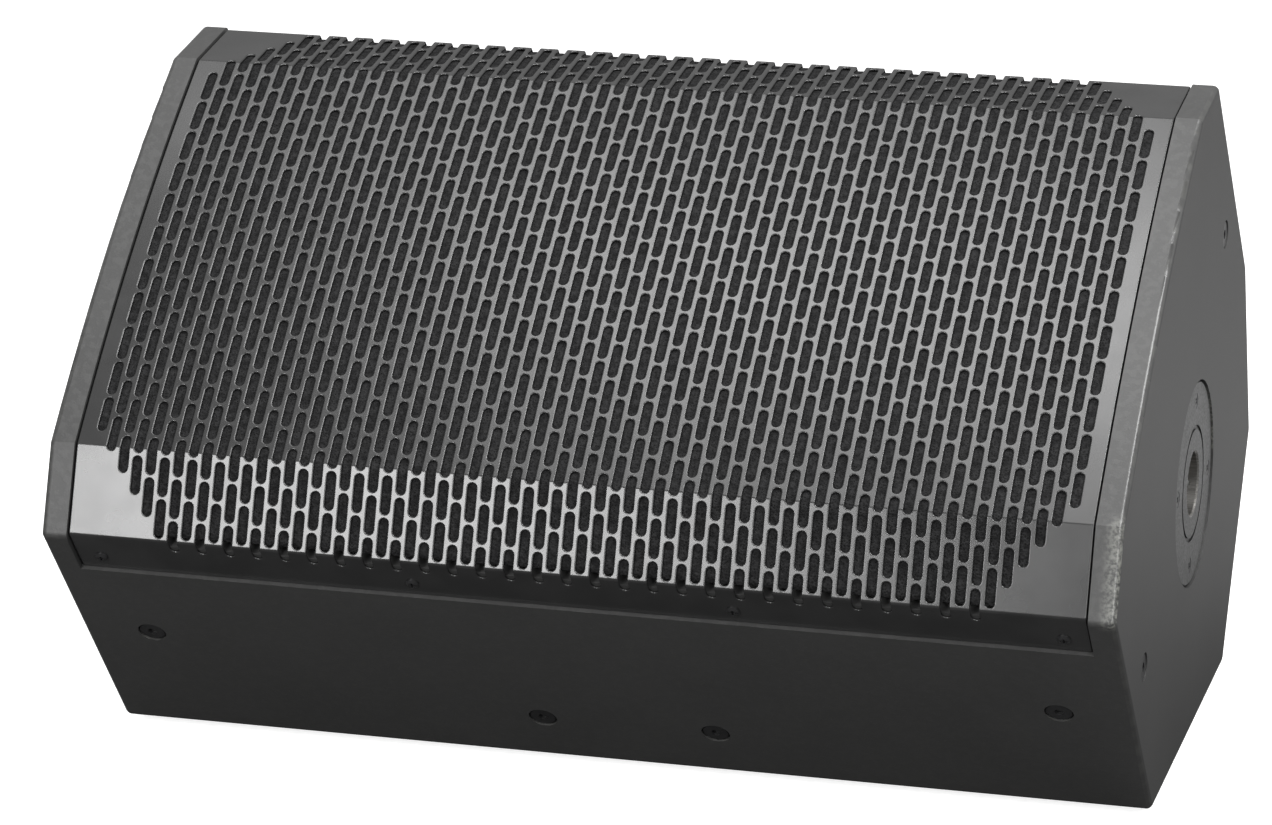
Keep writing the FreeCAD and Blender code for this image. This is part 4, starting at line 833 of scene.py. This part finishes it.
def ring_sectors(name, count, axis_x, profile, slot_name, node):
    """A closed (r, n) profile turned about a loudspeaker's axis, in sectors."""
    wide = 2 * math.pi / count
    size = len(profile)
    for k in range(count):
        turns = [wide * (k + i / SECTOR_STEPS) for i in range(SECTOR_STEPS + 1)]
        points = [place(axis_x + r * math.cos(a), r * math.sin(a), n) for a in turns for r, n in profile]
        faces = [list(range(size))[::-1], [SECTOR_STEPS * size + i for i in range(size)]]
        for i in range(SECTOR_STEPS):
            for j in range(size):
                a, b = i * size + j, i * size + (j + 1) % size
                faces.append([a, b, b + size, a + size])
        piece = new_object(f"{name}_{k + 1:02d}", points, faces)
        for cap in piece.data.polygons[:2]:
            cap.use_smooth = False
        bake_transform(piece)
        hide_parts(node)
        piece.data.materials.append(FINISHES[slot_name])


def half_roll(middle, base, radius, start, finish, steps):
    """(r, n) points of an arc about (middle, base) between two angles."""
    return [(middle + radius * math.cos(start + (finish - start) * i / steps),
             base + radius * math.sin(start + (finish - start) * i / steps)) for i in range(steps + 1)]


def woofer_surround():
    """The doped cloth half-roll from the cone's rim to the basket's flange."""
    top = BAFFLE_N + 6.5
    profile = half_roll(124.0, top, 8.0, math.pi, 0.04, 12)
    profile += [(140.0, top + 0.3), (140.0, top - 0.5)]
    profile += half_roll(124.0, top, 7.2, 0.0, math.pi, 12)
    ring_sectors("surround", 12, WOOFER_X, profile, "coated_cloth",
                 "woofer_surround")


def woofer_spider():
    """The corrugated cloth disc from the coil's former to the basket's shelf."""
    level, start_r, end_r, waves, steps, thick = BAFFLE_N - 68.3, 38.05, 73.5, 5, 40, 0.6
    upper = [(start_r, level)]
    for i in range(1, steps):
        r = start_r + 3 + (end_r - start_r - 6) * i / steps
        upper.append((r, level + 2.1 * math.sin(2 * math.pi * waves * i / steps)))
    upper += [(end_r, level), (83.4, level)]
    profile = upper + [(r, n - thick) for r, n in upper[::-1]]
    ring_sectors("spider", 12, WOOFER_X, profile, "spider_cloth", "woofer_spider")


def driver_suspension():
    """The thin ring that carries the driver's dome, with one small roll."""
    level, thick, roll = BAFFLE_N - 96.0 - 31.4, 0.3, 0.9
    upper = [(22.45 + 7.5 * i / 12, level - roll * math.sin(math.pi * i / 12) ** 2) for i in range(13)]
    profile = upper + [(r, n - thick) for r, n in upper[::-1]]
    ring_sectors("suspension", 6, HORN_X, profile, "coated_cloth", "driver_suspension")


# ---------------------------------------------------------------- studio: floor, light and camera

FLOOR_SIZE = 60.0
FRONT_BOUNCE, REAR_BOUNCE = 0.09, 0.42
ROOM_LIGHT = 0.5
OVERHEAD_Z = 1.75


def studio_floor():
    """White paper to the eye; to bounced light it is painted dark before the wedge, as painted shade, and lighter
    behind it, as a painted pool of light.
    """
    plane = new_object("studio_floor", [(-FLOOR_SIZE, -FLOOR_SIZE, 0), (FLOOR_SIZE, -FLOOR_SIZE, 0),
                                        (FLOOR_SIZE, FLOOR_SIZE, 0), (-FLOOR_SIZE, FLOOR_SIZE, 0)],
                       [(0, 1, 2, 3)])
    f = Finish("studio_floor", 0.9)
    seen = f.add("ShaderNodeLightPath").outputs["Is Camera Ray"]
    # painted shade and painted light: the floor's colour for bounced rays runs from dark before the wedge to
    # lighter behind it
    bounce = f.span(f.axis("Y"), 0.0, 0.6, FRONT_BOUNCE, REAR_BOUNCE)
    f.colour(f.blend(seen, bounce, (0.60, 0.60, 0.60)))
    f.shader.inputs["Emission Color"].default_value = (0.80, 0.80, 0.80, 1)
    f.link(seen, f.shader.inputs["Emission Strength"])
    f.shader.inputs["Specular IOR Level"].default_value = 0.0
    plane.data.materials.append(f.material)


def studio_world(strength):
    """White behind the wedge, and a dimmer white room around it."""
    world = bpy.data.worlds.new("studio")
    world.use_nodes = True
    nodes, links = world.node_tree.nodes, world.node_tree.links
    background = nodes["Background"]
    background.inputs["Color"].default_value = (1.0, 1.0, 1.0, 1.0)
    level = nodes.new("ShaderNodeMapRange")
    level.inputs["To Min"].default_value = strength
    links.new(nodes.new("ShaderNodeLightPath").outputs["Is Camera Ray"], level.inputs["Value"])
    links.new(level.outputs["Result"], background.inputs["Strength"])
    bpy.context.scene.world = world


def softbox(name, at, aim, size, radiance):
    """A rectangular soft light, size metres across, out of the camera's sight."""
    lamp = bpy.data.lights.new(name, "AREA")
    lamp.shape = "RECTANGLE"
    lamp.size, lamp.size_y = size
    lamp.energy = radiance * math.pi * size[0] * size[1]
    light = bpy.data.objects.new(name, lamp)
    bpy.context.scene.collection.objects.link(light)
    light.location = at
    light.rotation_mode = "QUATERNION"
    light.rotation_quaternion = (Vector(aim) - Vector(at)).to_track_quat("-Z", "Y")
    light.visible_camera = False


CAMERA_AT = Vector((0.8054, -2.8485, 1.2286))
CAMERA_AZIMUTH = math.radians(16.117)
CAMERA_ELEVATION = math.radians(19.479)
CAMERA_ROLL = math.radians(1.130)
CAMERA_LENS = 156.5
CAMERA_SENSOR = 36.0


def studio_camera():
    """A long lens, a little above and to the right of the wedge, tipped slightly."""
    back = Vector((math.sin(CAMERA_AZIMUTH) * math.cos(CAMERA_ELEVATION),
                   -math.cos(CAMERA_AZIMUTH) * math.cos(CAMERA_ELEVATION), math.sin(CAMERA_ELEVATION)))
    level_right = Vector((0, 0, 1)).cross(back).normalized()
    level_up = back.cross(level_right)
    right = level_right * math.cos(CAMERA_ROLL) - level_up * math.sin(CAMERA_ROLL)
    up = level_up * math.cos(CAMERA_ROLL) + level_right * math.sin(CAMERA_ROLL)
    data = bpy.data.cameras.new("camera")
    data.lens = CAMERA_LENS
    data.sensor_width = CAMERA_SENSOR
    data.clip_start, data.clip_end = 0.1, 200.0
    camera = bpy.data.objects.new("camera", data)
    bpy.context.scene.collection.objects.link(camera)
    turn = Matrix((right, up, back)).transposed()
    camera.matrix_world = Matrix.Translation(CAMERA_AT) @ turn.to_4x4()
    bpy.context.scene.camera = camera


# ---------------------------------------------------------------- the scene

slotted_grille()
foam_sheet()
fleece_mats()
woofer_surround()
woofer_spider()
driver_suspension()

studio_floor()
studio_world(ROOM_LIGHT)
for name, x, y, width, depth, radiance in (
        ("overhead_middle", -0.175, -0.15, 0.75, 0.50, 7.2), ("overhead_rear", -0.25, 0.275, 0.70, 0.35, 4.4),
        ("overhead_left", -0.775, 0.25, 0.35, 0.40, 2.3), ("overhead_front", -0.175, -0.575, 0.75, 0.35, 3.4)):
    softbox(name, (x, y, OVERHEAD_Z), (x, y - 0.01, 0.0), (width, depth), radiance)
softbox("overhead_right", (1.00, -0.10, 1.60), (1.00, -0.11, 0.0), (0.6, 0.9), 17.0)
softbox("front_left", (-0.76, -1.95, 1.05), (-0.1, -0.15, 0.2), (0.79, 0.75), 14.1)
softbox("front_right", (1.30, -1.70, 1.10), (0.0, -0.1, 0.2), (1.0, 1.0), 6.0)
softbox("rear_right", (1.45, 0.65, 1.02), (0.3, 0.0, 0.3), (0.5, 0.9), 1.0)
studio_camera()
bpy.context.scene.view_settings.view_transform = "Standard"
